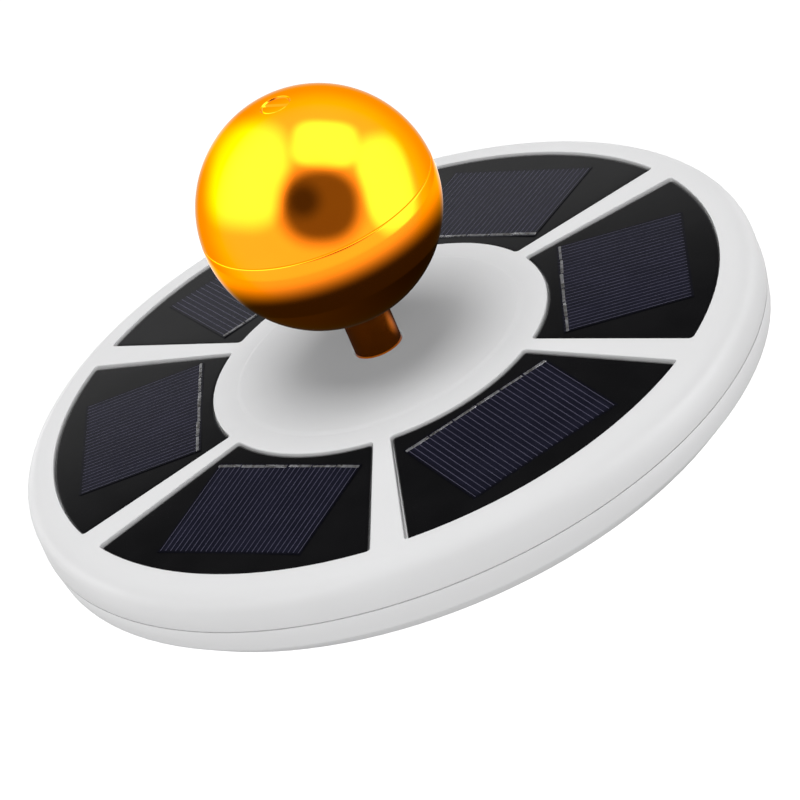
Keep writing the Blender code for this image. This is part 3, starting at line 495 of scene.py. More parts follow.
class Finishes:
    """Every finish of the light."""

    HOUSING = Finish("satin_white_housing", (0.800, 0.800, 0.806), (0.785, 0.785, 0.790), (0.36, 0.44),
                     38.0, 3200.0, 0.06, specular=0.4)
    EPOXY = Finish("cast_black_epoxy", (0.0042, 0.0042, 0.0048), (0.0058, 0.0057, 0.0064), (0.10, 0.16),
                   70.0, 900.0, 0.02, specular=0.5, coat=0.4, coat_rough=0.05)
    WAFER = Wafer("cell_silicon", (0.0105, 0.0105, 0.0225), (0.0060, 0.0062, 0.0150), (0.14, 0.22),
                  110.0, 1500.0, 0.02, coat=0.4, coat_rough=0.05)
    PASTE = Finish("cell_paste", (0.105, 0.100, 0.150), (0.075, 0.072, 0.110), (0.25, 0.35),
                   150.0, 3000.0, 0.05, metallic=0.3, coat=0.3)
    SOLDER = Solder("solder_ribbon", (0.66, 0.66, 0.68), (0.40, 0.40, 0.42), (0.22, 0.45),
                    260.0, 1800.0, 0.35, 0.0001, metallic=0.75)
    GOLD = Finish("anodised_gold_ball", (1.0, 0.236, 0.0085), (0.97, 0.222, 0.0078), (0.085, 0.11),
                  45.0, 2600.0, 0.012, metallic=1.0, edge_tint=(1.0, 0.72, 0.30))
    ROD_GOLD = TurnedMetal("gold_rod", (0.98, 0.232, 0.0085), (0.80, 0.185, 0.0068), (0.20, 0.28),
                           bump=0.05, bump_depth=0.00002, metallic=1.0)
    STEEL = TurnedMetal("turned_steel", (0.62, 0.62, 0.60), (0.45, 0.45, 0.44), (0.24, 0.40),
                        bump=0.08, bump_depth=0.00003, metallic=1.0)
    NICKEL = Finish("plated_nickel", (0.66, 0.64, 0.58), (0.55, 0.53, 0.47), (0.22, 0.32),
                    300.0, 2600.0, 0.08, metallic=1.0)
    RUBBER = Finish("soft_black_rubber", (0.020, 0.020, 0.021), (0.032, 0.032, 0.033), (0.72, 0.86),
                    150.0, 2400.0, 0.35, 0.0001, specular=0.3)
    LED_BOARD = CircuitBoard("white_led_board", (0.72, 0.72, 0.70), (0.66, 0.66, 0.64), (0.42, 0.52),
                             trace=(0.60, 0.60, 0.57), trace_scale=110.0)
    PACKAGE = Finish("led_package", (0.80, 0.80, 0.77), (0.74, 0.74, 0.71), (0.35, 0.45), 400.0)
    PHOSPHOR = Phosphor("warm_phosphor", (0.95, 0.74, 0.20), (0.88, 0.66, 0.16), (0.38, 0.50), 900.0,
                        4000.0, 0.2)
    REFLECTOR = Finish("mirror_plating", (0.86, 0.86, 0.87), (0.80, 0.80, 0.81), (0.08, 0.16),
                       120.0, 1400.0, 0.04, metallic=1.0)
    LENS = ClearPlastic("clear_moulding", (0.93, 0.96, 0.97), (0.90, 0.94, 0.96), (0.04, 0.09),
                        60.0, 700.0, 0.03, ior=1.49)
    CIRCUIT = CircuitBoard("green_circuit_board", (0.012, 0.12, 0.05), (0.010, 0.10, 0.04), (0.34, 0.44))
    BLACK = Finish("black_moulding", (0.022, 0.022, 0.024), (0.032, 0.032, 0.034), (0.42, 0.56),
                   90.0, 2200.0, 0.2)
    IVORY = Finish("ivory_moulding", (0.72, 0.69, 0.60), (0.66, 0.63, 0.54), (0.38, 0.48), 150.0)
    SLEEVE = Finish("shrunk_sleeve", (0.030, 0.130, 0.420), (0.022, 0.100, 0.340), (0.22, 0.34),
                    120.0, 1500.0, 0.10, coat=0.3)
    BUTTON = Finish("grey_moulding", (0.20, 0.20, 0.21), (0.16, 0.16, 0.17), (0.48, 0.62),
                    180.0, 2400.0, 0.3, 0.0001)

    FOR_SLOT = {
        Slot.WHITE: HOUSING, Slot.RUBBER: RUBBER, Slot.EPOXY: EPOXY, Slot.CELL: WAFER, Slot.STEEL: STEEL,
        Slot.NICKEL: NICKEL, Slot.GOLD: GOLD, Slot.LED_BOARD: LED_BOARD, Slot.PHOSPHOR: PHOSPHOR,
        Slot.REFLECTOR: REFLECTOR, Slot.LENS: LENS, Slot.CIRCUIT: CIRCUIT, Slot.BLACK: BLACK,
        Slot.IVORY: IVORY, Slot.SLEEVE: SLEEVE, Slot.BUTTON: BUTTON,
    }


# ---------------------------------------------------------------- shaping


def put(name: str, data: bpy.types.ID) -> bpy.types.Object:
    """Add an object to the scene.

    Args:
        name: Its name.
        data: Its mesh, light or camera.

    Returns:
        The object.
    """
    made = bpy.data.objects.new(name, data)
    bpy.context.scene.collection.objects.link(made)
    return made


class Workpiece:
    """A solid being shaped with the mesh operators."""

    def __init__(self, mesh: bpy.types.Mesh | None = None) -> None:
        """Start empty, or from a mesh.

        Args:
            mesh: The mesh to start from.
        """
        self.bm = bmesh.new()
        if mesh:
            self.bm.from_mesh(mesh)

    def absorb(self, other: "Workpiece", matrix: Matrix | None = None) -> "Workpiece":
        """Take in another workpiece, which is used up.

        Args:
            other: The other workpiece.
            matrix: Where it goes.

        Returns:
            This workpiece.
        """
        if matrix:
            other.move(matrix)
        mesh = bpy.data.meshes.new("absorbed")
        other.bm.to_mesh(mesh)
        other.bm.free()
        self.bm.from_mesh(mesh)
        bpy.data.meshes.remove(mesh)
        return self

    def outline(self, points: Sequence[Point], closed: bool) -> list:
        """Draw a radius-height outline as a wire.

        Args:
            points: The outline's points.
            closed: Whether its last point joins its first.

        Returns:
            Its vertices and edges.
        """
        verts = [self.bm.verts.new((radius, 0.0, height)) for radius, height in points]
        count = len(verts)
        edges = [self.bm.edges.new((verts[i], verts[(i + 1) % count]))
                 for i in range(count if closed else count - 1)]
        return [*verts, *edges]

    def turn(self, points: Sequence[Point], steps: int, closed: bool = True,
             matrix: Matrix | None = None) -> "Workpiece":
        """Spin an outline all round +Z.

        Args:
            points: The radius-height outline.
            steps: The number of facets.
            closed: Whether the outline is a loop.
            matrix: Where the turned shape goes.

        Returns:
            This workpiece.
        """
        shape = Workpiece()
        wire = shape.outline(points, closed)
        bmesh.ops.spin(shape.bm, geom=wire, axis=(0, 0, 1), cent=(0, 0, 0), angle=math.tau,
                       steps=steps, use_merge=True)
        return self.absorb(shape.tidy(), matrix)

    def sector(self, points: Sequence[Point], start: float, end: float, steps: int) -> "Workpiece":
        """Sweep a closed outline from one angle to another.

        Args:
            points: The radius-height outline.
            start: The first angle.
            end: The last angle.
            steps: The number of facets.

        Returns:
            This workpiece.
        """
        corners = [self.bm.verts.new((radius, 0.0, height)) for radius, height in points]
        face = self.bm.faces.new(corners)
        bmesh.ops.rotate(self.bm, verts=corners, matrix=Matrix.Rotation(start, 3, "Z"))
        bmesh.ops.spin(self.bm, geom=[face, *face.edges, *corners], axis=(0, 0, 1), angle=end - start,
                       steps=steps)
        return self

    def box(self, low: Sequence[float], high: Sequence[float], matrix: Matrix | None = None) -> "Workpiece":
        """Add a box between two corners, then move it by a matrix."""
        size = [h - l for l, h in zip(low, high)]
        middle = [(h + l) / 2 for l, h in zip(low, high)]
        place = Matrix.Translation(middle) @ Matrix.Diagonal((*size, 1.0))
        bmesh.ops.create_cube(self.bm, size=1.0, matrix=(matrix or Matrix.Identity(4)) @ place)
        return self

    def cone(self, radii: Point, heights: Point, matrix: Matrix | None = None, steps: int = 24,
             caps: bool = True) -> "Workpiece":
        """Add a cylinder or cone.

        Args:
            radii: Its lower and upper radius.
            heights: Its lower and upper height.
            matrix: Where it goes.
            steps: The number of facets.
            caps: Whether its ends are closed.

        Returns:
            This workpiece.
        """
        place = Matrix.Translation((0.0, 0.0, sum(heights) / 2))
        bmesh.ops.create_cone(self.bm, cap_ends=caps, segments=steps, radius1=radii[0], radius2=radii[1],
                              depth=heights[1] - heights[0], matrix=(matrix or Matrix.Identity(4)) @ place)
        return self

    def ring(self, radius: float, height: float, reach: float = 2e-5) -> list[bmesh.types.BMEdge]:
        """Return the edges that go round the axis at a radius and height."""
        def on_ring(vert: bmesh.types.BMVert) -> bool:
            """Whether a vertex lies there."""
            return abs(vert.co.z - height) < reach and abs(vert.co.xy.length - radius) < reach
        return [e for e in self.bm.edges if all(on_ring(v) for v in e.verts)]

    def sharp(self, angle: float = CREASE, where: Callable[[Vector], bool] | None = None
              ) -> list[bmesh.types.BMEdge]:
        """Return the edges that turn by more than an angle in degrees.

        Args:
            angle: The least angle.
            where: A test of the edge's middle.

        Returns:
            The edges.
        """
        limit = math.radians(angle)
        found = []
        for edge in self.bm.edges:
            if len(edge.link_faces) == 2 and edge.calc_face_angle(0.0) > limit:
                middle = (edge.verts[0].co + edge.verts[1].co) / 2
                if where is None or where(middle):
                    found.append(edge)
        return found

    def soften(self, edges: Iterable[bmesh.types.BMEdge], width: float, segments: int = 2) -> "Workpiece":
        """Round edges off.

        Args:
            edges: The edges.
            width: How far back the rounding starts.
            segments: Its facets.

        Returns:
            This workpiece.
        """
        chosen = list(edges)
        if chosen:
            bmesh.ops.bevel(self.bm, geom=chosen, offset=width, offset_type="OFFSET", segments=segments,
                            profile=0.5, affect="EDGES", material=-1, clamp_overlap=True)
        return self

    def soften_rings(self, *rings: tuple[float, float, float, int]) -> "Workpiece":
        """Round off the edges that go round the axis, one after the other.

        Args:
            rings: The radius, height, rounding and facets of each.

        Returns:
            This workpiece.
        """
        for radius, height, width, segments in rings:
            self.soften(self.ring(radius, height), width, segments)
        return self

    def move(self, matrix: Matrix) -> "Workpiece":
        """Move all of it by a matrix."""
        bmesh.ops.transform(self.bm, matrix=matrix, verts=self.bm.verts[:])
        return self

    def tidy(self) -> "Workpiece":
        """Merge doubles, then turn the faces outward."""
        bmesh.ops.remove_doubles(self.bm, verts=self.bm.verts[:], dist=MERGE)
        bmesh.ops.recalc_face_normals(self.bm, faces=self.bm.faces[:])
        return self

    def paint(self, where: Callable[[bmesh.types.BMFace], bool], index: int) -> "Workpiece":
        """Give the faces that pass a test another of the piece's materials."""
        for face in self.bm.faces:
            if where(face):
                face.material_index = index
        return self

    def mesh(self, name: str) -> bpy.types.Mesh:
        """Make the mesh, with smooth faces and sharp creases."""
        made = bpy.data.meshes.new(name)
        self.bm.to_mesh(made)
        self.bm.free()
        made.shade_smooth()
        made.set_sharp_from_angle(angle=SMOOTH_ANGLE)
        return made

    def carve(self, tool: "Workpiece", how: Cut) -> "Workpiece":
        """Cut a tool's shape from this one, or join it on.

        Args:
            tool: The other solid, which is used up.
            how: Whether it is taken away or joined.

        Returns:
            The carved workpiece.
        """
        parts = []
        for work in (self, tool):
            work.tidy()
            bmesh.ops.triangulate(work.bm, faces=work.bm.faces[:])
            mesh = bpy.data.meshes.new("carving")
            work.bm.to_mesh(mesh)
            work.bm.free()
            parts.append(put("carving", mesh))
        change = parts[0].modifiers.new("carve", "BOOLEAN")
        change.operation = how.value
        change.solver = "MANIFOLD"
        change.object = parts[1]
        depsgraph = bpy.context.evaluated_depsgraph_get()
        carved = bpy.data.meshes.new_from_object(parts[0].evaluated_get(depsgraph))
        result = Workpiece(carved)
        bpy.data.meshes.remove(carved)
        for part in parts:
            mesh = part.data
            bpy.data.objects.remove(part)
            bpy.data.meshes.remove(mesh)
        return result


def fit(work: Workpiece, name: str, slot: Slot, *replaces: str, body: Body = Body.HOUSING,
        finishes: Sequence[Finish] = ()) -> None:
    """Make a piece of a workpiece and fix it to the frame.

    Args:
        work: The shaped solid.
        name: The piece's name.
        slot: The record's slot of its finish.
        replaces: The CAD nodes that it stands for.
        body: The body that it rides on.
        finishes: Its finishes by material index, where they aren't the slot's own.
    """
    mesh = work.mesh(name)
    for finish in finishes or [Finishes.FOR_SLOT[slot]]:
        mesh.materials.append(finish.build())
    piece = put(name, mesh)
    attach(piece, body.value)
    if replaces:
        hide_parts(*replaces)
    LOG.info("%s: %d faces on %s", name, len(mesh.polygons), body.value)


def upright(radius: float, angle: float, height: float = 0.0) -> Matrix:
    """A place at a radius and angle round the axis, with +X pointing outward."""
    spot = (radius * math.cos(angle), radius * math.sin(angle), height)
    return Matrix.Translation(spot) @ Matrix.Rotation(angle, 4, "Z")


# ---------------------------------------------------------------- housing


@dataclass
class Deck:
    """The sloping top of the housing, which several pieces follow."""

    inner: float = 0.0456
    outer: float = 0.0910
    height: float = 0.0260
    fall: float = 0.0022
    spoke: float = math.radians(5.6)
    pocket: float = 0.0021
    thickness: float = 0.0035

    def level(self, radius: float) -> float:
        """Height of the deck at a radius."""
        return self.height - self.fall * (radius - self.inner) / (self.outer - self.inner)


@dataclass
class UpperShell:
    """The upper half of the housing: plateau, deck, six pockets and rim."""

    deck: Deck
    plateau_radius: float = 0.0389
    plateau_slope: float = 0.0012
    bore_roof: float = 0.0026
    hub: float = 0.0115
    hub_hole: float = 0.0083
    hub_bottom: float = 0.0156
    side_draft: float = 0.0002
    side_wall: float = 0.0057
    seal_wall: float = 0.0026
    seal_top: float = 0.01455
    rim_round: float = 0.0050
    corner_round: float = 0.0011
    lip_round: float = 0.0003
    lip_reach: float = 2e-4
    lip_band: float = 6e-5
    bore_round: float = 0.0005
    parting_round: float = 0.00012
    spoke_steps: int = 3
    pocket_steps: int = 22

    def outline(self) -> list[Point]:
        """Section of the shell, from the bore over the rim and back inside."""
        low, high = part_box("upper_housing")
        radius, top, bottom = high.x, high.z, low.z
        inside = radius - self.side_wall
        return [
            (ROD_BORE, top),
            (self.plateau_radius - self.plateau_slope, top),
            (self.plateau_radius, self.deck.level(self.plateau_radius)),
            (self.deck.inner, self.deck.level(self.deck.inner)),
            (self.deck.outer, self.deck.level(self.deck.outer)),
            (radius - self.side_draft, self.deck.level(radius)),
            (radius, bottom),
            (radius - self.seal_wall, bottom),
            (radius - self.seal_wall, self.seal_top),
            (inside, self.seal_top),
            (inside, self.deck.level(inside) - self.deck.thickness),
            (self.hub, self.deck.level(self.hub) - self.deck.thickness),
            (self.hub, self.hub_bottom),
            (self.hub_hole, self.hub_bottom),
            (self.hub_hole, top - self.bore_roof),
            (ROD_BORE, top - self.bore_roof),
        ]

    def revolve(self) -> Workpiece:
        """Spin the section round, with facets that meet every pocket's sides."""
        work = Workpiece()
        wire = work.outline(self.outline(), closed=True)
        bmesh.ops.rotate(work.bm, verts=work.bm.verts[:],
                         matrix=Matrix.Rotation(-self.deck.spoke / 2, 3, "Z"))
        for _ in range(PANELS):
            for angle, steps in ((self.deck.spoke, self.spoke_steps),
                                 (SECTOR - self.deck.spoke, self.pocket_steps)):
                wire = bmesh.ops.spin(work.bm, geom=wire, axis=(0, 0, 1), cent=(0, 0, 0), angle=angle,
                                      steps=steps)["geom_last"]
        return work.tidy()

    def in_pocket(self, face: bmesh.types.BMFace) -> bool:
        """Whether a face of the deck lies in a pocket."""
        spot = face.calc_center_median()
        radius = spot.xy.length
        turn = math.atan2(spot.y, spot.x) % SECTOR
        inside = self.deck.spoke / 2 < turn < SECTOR - self.deck.spoke / 2
        return face.normal.z > FACING and inside and self.deck.inner < radius < self.deck.outer

    def sink_pockets(self, work: Workpiece) -> None:
        """Press the six pockets into the deck and round their corners and lips."""
        bm = work.bm
        bm.normal_update()
        floors = [f for f in bm.faces if self.in_pocket(f)]
        region = {part for f in floors for part in (f, *f.edges, *f.verts)}
        sunk = bmesh.ops.extrude_face_region(bm, geom=list(region))
        verts = [v for v in sunk["geom"] if isinstance(v, bmesh.types.BMVert)]
        bmesh.ops.translate(bm, verts=verts, vec=(0, 0, -self.deck.pocket))
        work.tidy()
        bm.normal_update()

        def upright_corner(edge: bmesh.types.BMEdge) -> bool:
            """Whether an edge is one of a pocket's four corners."""
            along = edge.verts[0].co - edge.verts[1].co
            radius = edge.verts[0].co.xy.length
            return (along.xy.length < MERGE and self.deck.inner - MERGE < radius < self.deck.outer + MERGE
                    and abs(along.z) < 2 * self.deck.pocket)
        work.soften([e for e in work.sharp() if upright_corner(e)], self.corner_round, 4)
        bm.normal_update()

        def on_lip(middle: Vector) -> bool:
            """Whether a point is on a pocket's upper edge."""
            radius = middle.xy.length
            near = self.deck.inner - self.lip_reach < radius < self.deck.outer + self.lip_reach
            return near and abs(middle.z - self.deck.level(radius)) < self.lip_band
        work.soften(work.sharp(where=on_lip), self.lip_round, 3)

    def build(self) -> None:
        """Build the shell."""
        low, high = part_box("upper_housing")
        work = self.revolve().soften_rings(
            (high.x - self.side_draft, self.deck.level(high.x), self.rim_round, 10),
            (self.plateau_radius - self.plateau_slope, high.z, self.lip_round, 2),
            (self.plateau_radius, self.deck.level(self.plateau_radius), self.lip_round, 2),
            (ROD_BORE, high.z, self.bore_round, 3),
            (high.x, low.z, self.parting_round, 2))
        self.sink_pockets(work)
        fit(work.tidy(), "upper_shell", Slot.WHITE, "upper_housing")


@dataclass
class Bay:
    """Where the battery bay lies: local +X points outward, +Y along the hinge."""

    place_radius: float = 0.0684
    angle: float = math.radians(30)
    hinge_offset: float = 0.0136
    hinge_height: float = 0.0021
    axis_height: float = 0.0119
    door_half: float = 0.0345
    door_inner: float = -0.0240
    barrel: float = 0.0016
    door_thickness: float = 0.0020
    swing_gap: float = 0.0004

    def hinge(self) -> Matrix:
        """The place of the hinge axis."""
        return upright(self.place_radius + self.hinge_offset, self.angle, self.hinge_height)

    def axis(self) -> Matrix:
        """The place of the battery's axis."""
        return upright(self.place_radius, self.angle, self.axis_height)


@dataclass
class LowerShell:
    """The lower half of the housing, with its lamp tray, bay opening and holes."""

    bay: Bay
    underside: float = 0.0005
    wall: float = 0.0025
    side_height: float = 0.0060
    side_draft: float = 0.0011
    bevel: float = 0.0061
    side_wall: float = 0.0057
    seal_wall: float = 0.0026
    seal_bottom: float = 0.01065
    lens_outer: float = 0.0503
    lens_inner: float = 0.0168
    ledge: float = 0.0039
    lamp_outer: float = 0.0480
    lamp_inner: float = 0.0182
    ceiling: float = 0.0104
    tray_top: float = 0.0124
    tray_wall: float = 0.0020
    flange_hole: float = 0.0154
    flange_top: float = 0.0018
    sleeve_hole: float = 0.0083
    post: float = 0.0039
    head_hole: float = 0.0031
    head_chamfer: float = 0.0003
    shaft_hole: float = 0.00175
    shaft_end: float = 0.0150
    head_top: float = 0.0035
    overlap: float = 0.0008
    lug_length: float = 0.0030
    lug_top: float = 0.0044
    switch_pocket: float = 0.0075
    switch_floor: float = 0.0013
    switch_end: float = 0.0034
    opening: Point = (-0.0030, 0.0032)
    parting_round: float = 0.00012
    side_round: float = 0.0006
    foot_round: float = 0.0010
    edge_round: float = 0.0003
    steps: int = 120

    def outline(self) -> list[Point]:
        """Section of the shell, from the parting line round the tray to the hub."""
        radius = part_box("lower_housing")[1].x
        top = self.parting()
        foot = radius - self.side_draft - self.bevel
        inside = radius - self.side_wall
        floor = self.underside + self.wall
        return [
            (radius, top), (radius - self.side_draft, self.side_height), (foot, self.underside),
            (self.lens_outer, self.underside), (self.lens_outer, self.ledge),
            (self.lamp_outer, self.ledge), (self.lamp_outer, self.ceiling),
            (self.lamp_inner, self.ceiling), (self.lamp_inner, self.ledge),
            (self.lens_inner, self.ledge), (self.lens_inner, self.underside),
            (self.flange_hole, self.underside), (self.flange_hole, self.flange_top),
            (self.sleeve_hole, self.flange_top), (self.sleeve_hole, self.tray_top),
            (self.lamp_outer + self.tray_wall, self.tray_top), (self.lamp_outer + self.tray_wall, floor),
            (foot - self.wall, floor), (inside, self.side_height), (inside, self.seal_bottom),
            (radius - self.seal_wall, self.seal_bottom), (radius - self.seal_wall, top),
        ]

    def parting(self) -> float:
        """Height of the shell's upper edge, a gap under the upper shell."""
        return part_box("upper_housing")[0].z - CLEARANCE

    def joined(self) -> Workpiece:
        """The screw posts and the two hinge lugs."""
        tool = Workpiece()
        floor = self.underside + self.wall
        for index in range(PANELS):
            tool.cone((self.post, self.post), (floor - self.overlap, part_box("lower_housing")[1].z),
                      upright(SCREW_CIRCLE, index * SECTOR), 32)
        near = self.bay.door_half + CLEARANCE - self.overlap
        far = self.bay.door_half + CLEARANCE + self.lug_length
        for ends in ((near, far), (-far, -near)):
            tool.box((-self.bay.barrel, ends[0], floor - self.overlap - self.bay.hinge_height),
                     (self.bay.barrel, ends[1], self.lug_top - self.bay.hinge_height), self.bay.hinge())
        return tool

    def taken(self) -> Workpiece:
        """The screw holes, the door opening and the switch hole."""
        tool = Workpiece()
        low = self.underside
        mouth = self.head_hole + self.head_chamfer + OVERSHOOT + low
        hole = [(0.0, -OVERSHOOT), (mouth, -OVERSHOOT), (self.head_hole, low + self.head_chamfer),
                (self.head_hole, self.head_top), (self.shaft_hole, self.head_top),
                (self.shaft_hole, self.shaft_end), (0.0, self.shaft_end)]
        for index in range(PANELS):
            tool.turn(hole, 32, closed=False, matrix=upright(SCREW_CIRCLE, index * SECTOR))
        switch = [(0.0, -OVERSHOOT), (self.switch_pocket, -OVERSHOOT),
                  (self.switch_pocket, self.switch_floor), (SWITCH_BORE, self.switch_floor),
                  (SWITCH_BORE, self.switch_end), (0.0, self.switch_end)]
        tool.turn(switch, 40, closed=False, matrix=upright(SWITCH_RADIUS, SWITCH_ANGLE))
        half = self.bay.door_half + CLEARANCE
        tool.box((self.bay.door_inner - self.bay.swing_gap, -half, self.opening[0]),
                 (self.bay.barrel + self.bay.swing_gap, half, self.opening[1]), self.bay.hinge())
        return tool

    def build(self) -> None:
        """Build the shell."""
        low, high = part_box("lower_housing")
        foot = high.x - self.side_draft - self.bevel
        work = Workpiece().turn(self.outline(), self.steps).tidy().soften_rings(
            (high.x, self.parting(), self.parting_round, 2),
            (high.x - self.side_draft, self.side_height, self.side_round, 3),
            (foot, low.z, self.foot_round, 4),
            *((radius, low.z, self.edge_round, 2)
              for radius in (self.lens_outer, self.lens_inner, self.flange_hole)))
        work = work.carve(self.joined(), Cut.JOIN).carve(self.taken(), Cut.TAKE)
        fit(work, "lower_shell", Slot.WHITE, "lower_housing")


@dataclass
class PoleSleeve:
    """The flanged metal sleeve that lines the bore and rests on the pole."""

    wall: float = 0.00135
    flange_height: float = 0.0015
    mouth_round: float = 0.0004
    flange_round: float = 0.0002
    steps: int = 72

    def build(self) -> None:
        """Build the sleeve."""
        low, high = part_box("hub_sleeve")
        outer = ROD_BORE + self.wall
        work = Workpiece().turn([
            (outer, high.z), (outer, self.flange_height), (high.x, self.flange_height), (high.x, low.z),
            (ROD_BORE, low.z), (ROD_BORE, high.z)], self.steps).tidy().soften_rings(
                (high.x, low.z, self.mouth_round, 3), (ROD_BORE, low.z, self.mouth_round, 3),
                (high.x, self.flange_height, self.flange_round, 2))
        fit(work.tidy(), "sleeve_liner", Slot.STEEL, "hub_sleeve")


@dataclass
class HousingScrews:
    """Six pan-head screws with cross recesses, seen from below."""

    head: float = 0.0028
    head_height: float = 0.0020
    head_round: float = 0.0008
    shaft: float = 0.00145
    point: float = 0.0006
    point_length: float = 0.0012
    cross: Point = (0.0017, 0.0004)
    cross_depth: float = 0.0011
    steps: int = 32

    def pattern(self) -> bpy.types.Mesh:
        """One screw on the axis."""
        low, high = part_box("housing_screw_1")
        head_top = low.z + self.head_height
        work = Workpiece().turn([
            (0.0, high.z), (self.shaft - self.point, high.z), (self.shaft, high.z - self.point_length),
            (self.shaft, head_top), (self.head, head_top), (self.head, low.z), (0.0, low.z)],
            self.steps, closed=False).tidy()
        work.soften_rings((self.head, low.z, self.head_round, 4))
        bars = [Workpiece().box((-x, -y, low.z - OVERSHOOT), (x, y, low.z + self.cross_depth))
                for x, y in (self.cross, self.cross[::-1])]
        recess = bars[0].carve(bars[1], Cut.JOIN)
        return work.carve(recess, Cut.TAKE).mesh("screw_pattern")

    def build(self) -> None:
        """Build the six screws."""
        pattern = self.pattern()
        for index in range(PANELS):
            work = Workpiece(pattern).move(upright(SCREW_CIRCLE, index * SECTOR))
            fit(work, f"case_screw_{index + 1}", Slot.STEEL, f"housing_screw_{index + 1}")
        bpy.data.meshes.remove(pattern)


# ---------------------------------------------------------------- solar panels


@dataclass
class SolarPanel:
    """One sector panel: cast epoxy, silicon cell, printed fingers and soldered ribbon."""

    deck: Deck
    index: int
    side_angle: float = math.radians(0.5)
    drop: float = 0.0018
    sunk: float = 0.00060
    lip_drop: float = 0.0010
    lip_width: float = 0.0027
    corner: float = 0.0010
    cell_rise: float = 0.00002
    cell_thickness: float = 0.00035
    fingers: int = 28
    finger_width: float = 0.00022
    finger_rise: float = 0.00002
    ribbon_width: float = 0.00085
    ribbon_inset: float = 0.0010
    ribbon_parts: int = 6
    ribbon_levels: Point = (-0.00005, 0.00014)
    ribbon_spread: Point = (0.75, 1.1)
    ribbon_gap: Point = (0.0002, 0.0007)
    ribbon_stray: float = 0.00012
    ribbon_turn: float = 0.02
    ribbon_round: float = 0.00012
    finger_ends: Point = (0.0004, 0.0006)
    steps: int = 22

    def facing(self) -> float:
        """The angle that the panel faces."""
        return (self.index - 0.5) * SECTOR

    def cell_size(self) -> tuple[float, float, float]:
        """Near edge, far edge and half width of the cell that faces +Y."""
        low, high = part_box("solar_cell_2")
        return low.y, high.y, high.x

    def cell_frame(self) -> Matrix:
        """The cell's own frame: its top face at the epoxy's level, +X outward."""
        near, far, _ = self.cell_size()
        middle = (near + far) / 2
        tilt = math.atan(self.deck.fall / (self.deck.outer - self.deck.inner))
        place = upright(middle, self.facing(), self.deck.level(middle) - self.sunk + self.cell_rise)
        return place @ Matrix.Rotation(tilt, 4, "Y")

    def epoxy(self) -> Workpiece:
        """The cast slab, flat in the middle and rounded down to its edges."""
        stretch = self.lip_width / self.lip_drop
        height = (self.drop - self.sunk) * stretch
        inner, outer = self.deck.inner + CLEARANCE, self.deck.outer - CLEARANCE
        side = self.deck.spoke / 2 + self.side_angle
        start = self.facing() - SECTOR / 2
        work = Workpiece().sector([(inner, 0.0), (outer, 0.0), (outer, height), (inner, height)],
                                  start + side, start + SECTOR - side, self.steps).tidy()
        work.bm.normal_update()
        upright_edges = [e for e in work.sharp()
                         if (e.verts[0].co - e.verts[1].co).xy.length < MERGE]
        work.soften(upright_edges, self.corner, 4)
        work.bm.normal_update()
        work.soften(work.sharp(where=lambda middle: middle.z > height - MERGE), self.lip_width, 8)
        for vert in work.bm.verts:
            radius = vert.co.xy.length
            vert.co.z = vert.co.z / stretch + self.deck.level(radius) - self.drop
        return work.tidy()

    def wafer(self) -> Workpiece:
        """The silicon plate, with a plan of itself for its border."""
        near, far, half = self.cell_size()
        length = (far - near) / 2
        work = Workpiece().box((-length, -half, -self.cell_thickness), (length, half, 0.0))
        plan = work.bm.loops.layers.uv.new("cell_plan")
        for face in work.bm.faces:
            for loop in face.loops:
                spot = loop.vert.co
                loop[plan].uv = (0.5 + spot.x / (2 * length), 0.5 + spot.y / (2 * half))
        return work.move(self.cell_frame())

    def printed_fingers(self) -> Workpiece:
        """The thin lines that run outward across the cell."""
        near, far, half = self.cell_size()
        length = (far - near) / 2
        work = Workpiece()
        pitch = 2 * half / self.fingers
        for number in range(self.fingers):
            side = -half + pitch * (number + 0.5)
            work.box((-length + self.finger_ends[0], side - self.finger_width / 2, -self.finger_rise),
                     (length - self.finger_ends[1], side + self.finger_width / 2, self.finger_rise))
        return work.move(self.cell_frame())

    def ribbon(self) -> Workpiece:
        """The soldered ribbon along the hub side, in slightly uneven lengths."""
        near, far, half = self.cell_size()
        left = -(far - near) / 2 + self.ribbon_inset
        dice = random.Random(self.index)
        work = Workpiece()
        part = 2 * half / self.ribbon_parts
        for number in range(self.ribbon_parts):
            width = self.ribbon_width * dice.uniform(*self.ribbon_spread)
            shift = dice.uniform(-self.ribbon_stray, self.ribbon_stray)
            start = -half + part * number + self.ribbon_gap[0]
            end = start + part - dice.uniform(*self.ribbon_gap)
            middle = Matrix.Translation((left + shift, (start + end) / 2, 0.0))
            x, y = width / 2, (end - start) / 2
            turn = Matrix.Rotation(dice.uniform(-self.ribbon_turn, self.ribbon_turn), 4, "Z")
            work.box((-x, -y, self.ribbon_levels[0]), (x, y, self.ribbon_levels[1]), middle @ turn)
        above = self.ribbon_levels[0] / 2
        work.soften(work.sharp(where=lambda middle: middle.z > above), self.ribbon_round, 3)
        return work.tidy().move(self.cell_frame())

    def build(self) -> None:
        """Build the panel's four pieces."""
        number = self.index
        fit(self.epoxy(), f"epoxy_panel_{number}", Slot.EPOXY, f"solar_panel_{number}")
        fit(self.wafer(), f"cell_wafer_{number}", Slot.CELL, f"solar_cell_{number}")
        fit(self.printed_fingers(), f"cell_fingers_{number}", Slot.CELL, finishes=[Finishes.PASTE])
        fit(self.ribbon(), f"cell_ribbon_{number}", Slot.NICKEL, finishes=[Finishes.SOLDER])


# ---------------------------------------------------------------- ball and rod


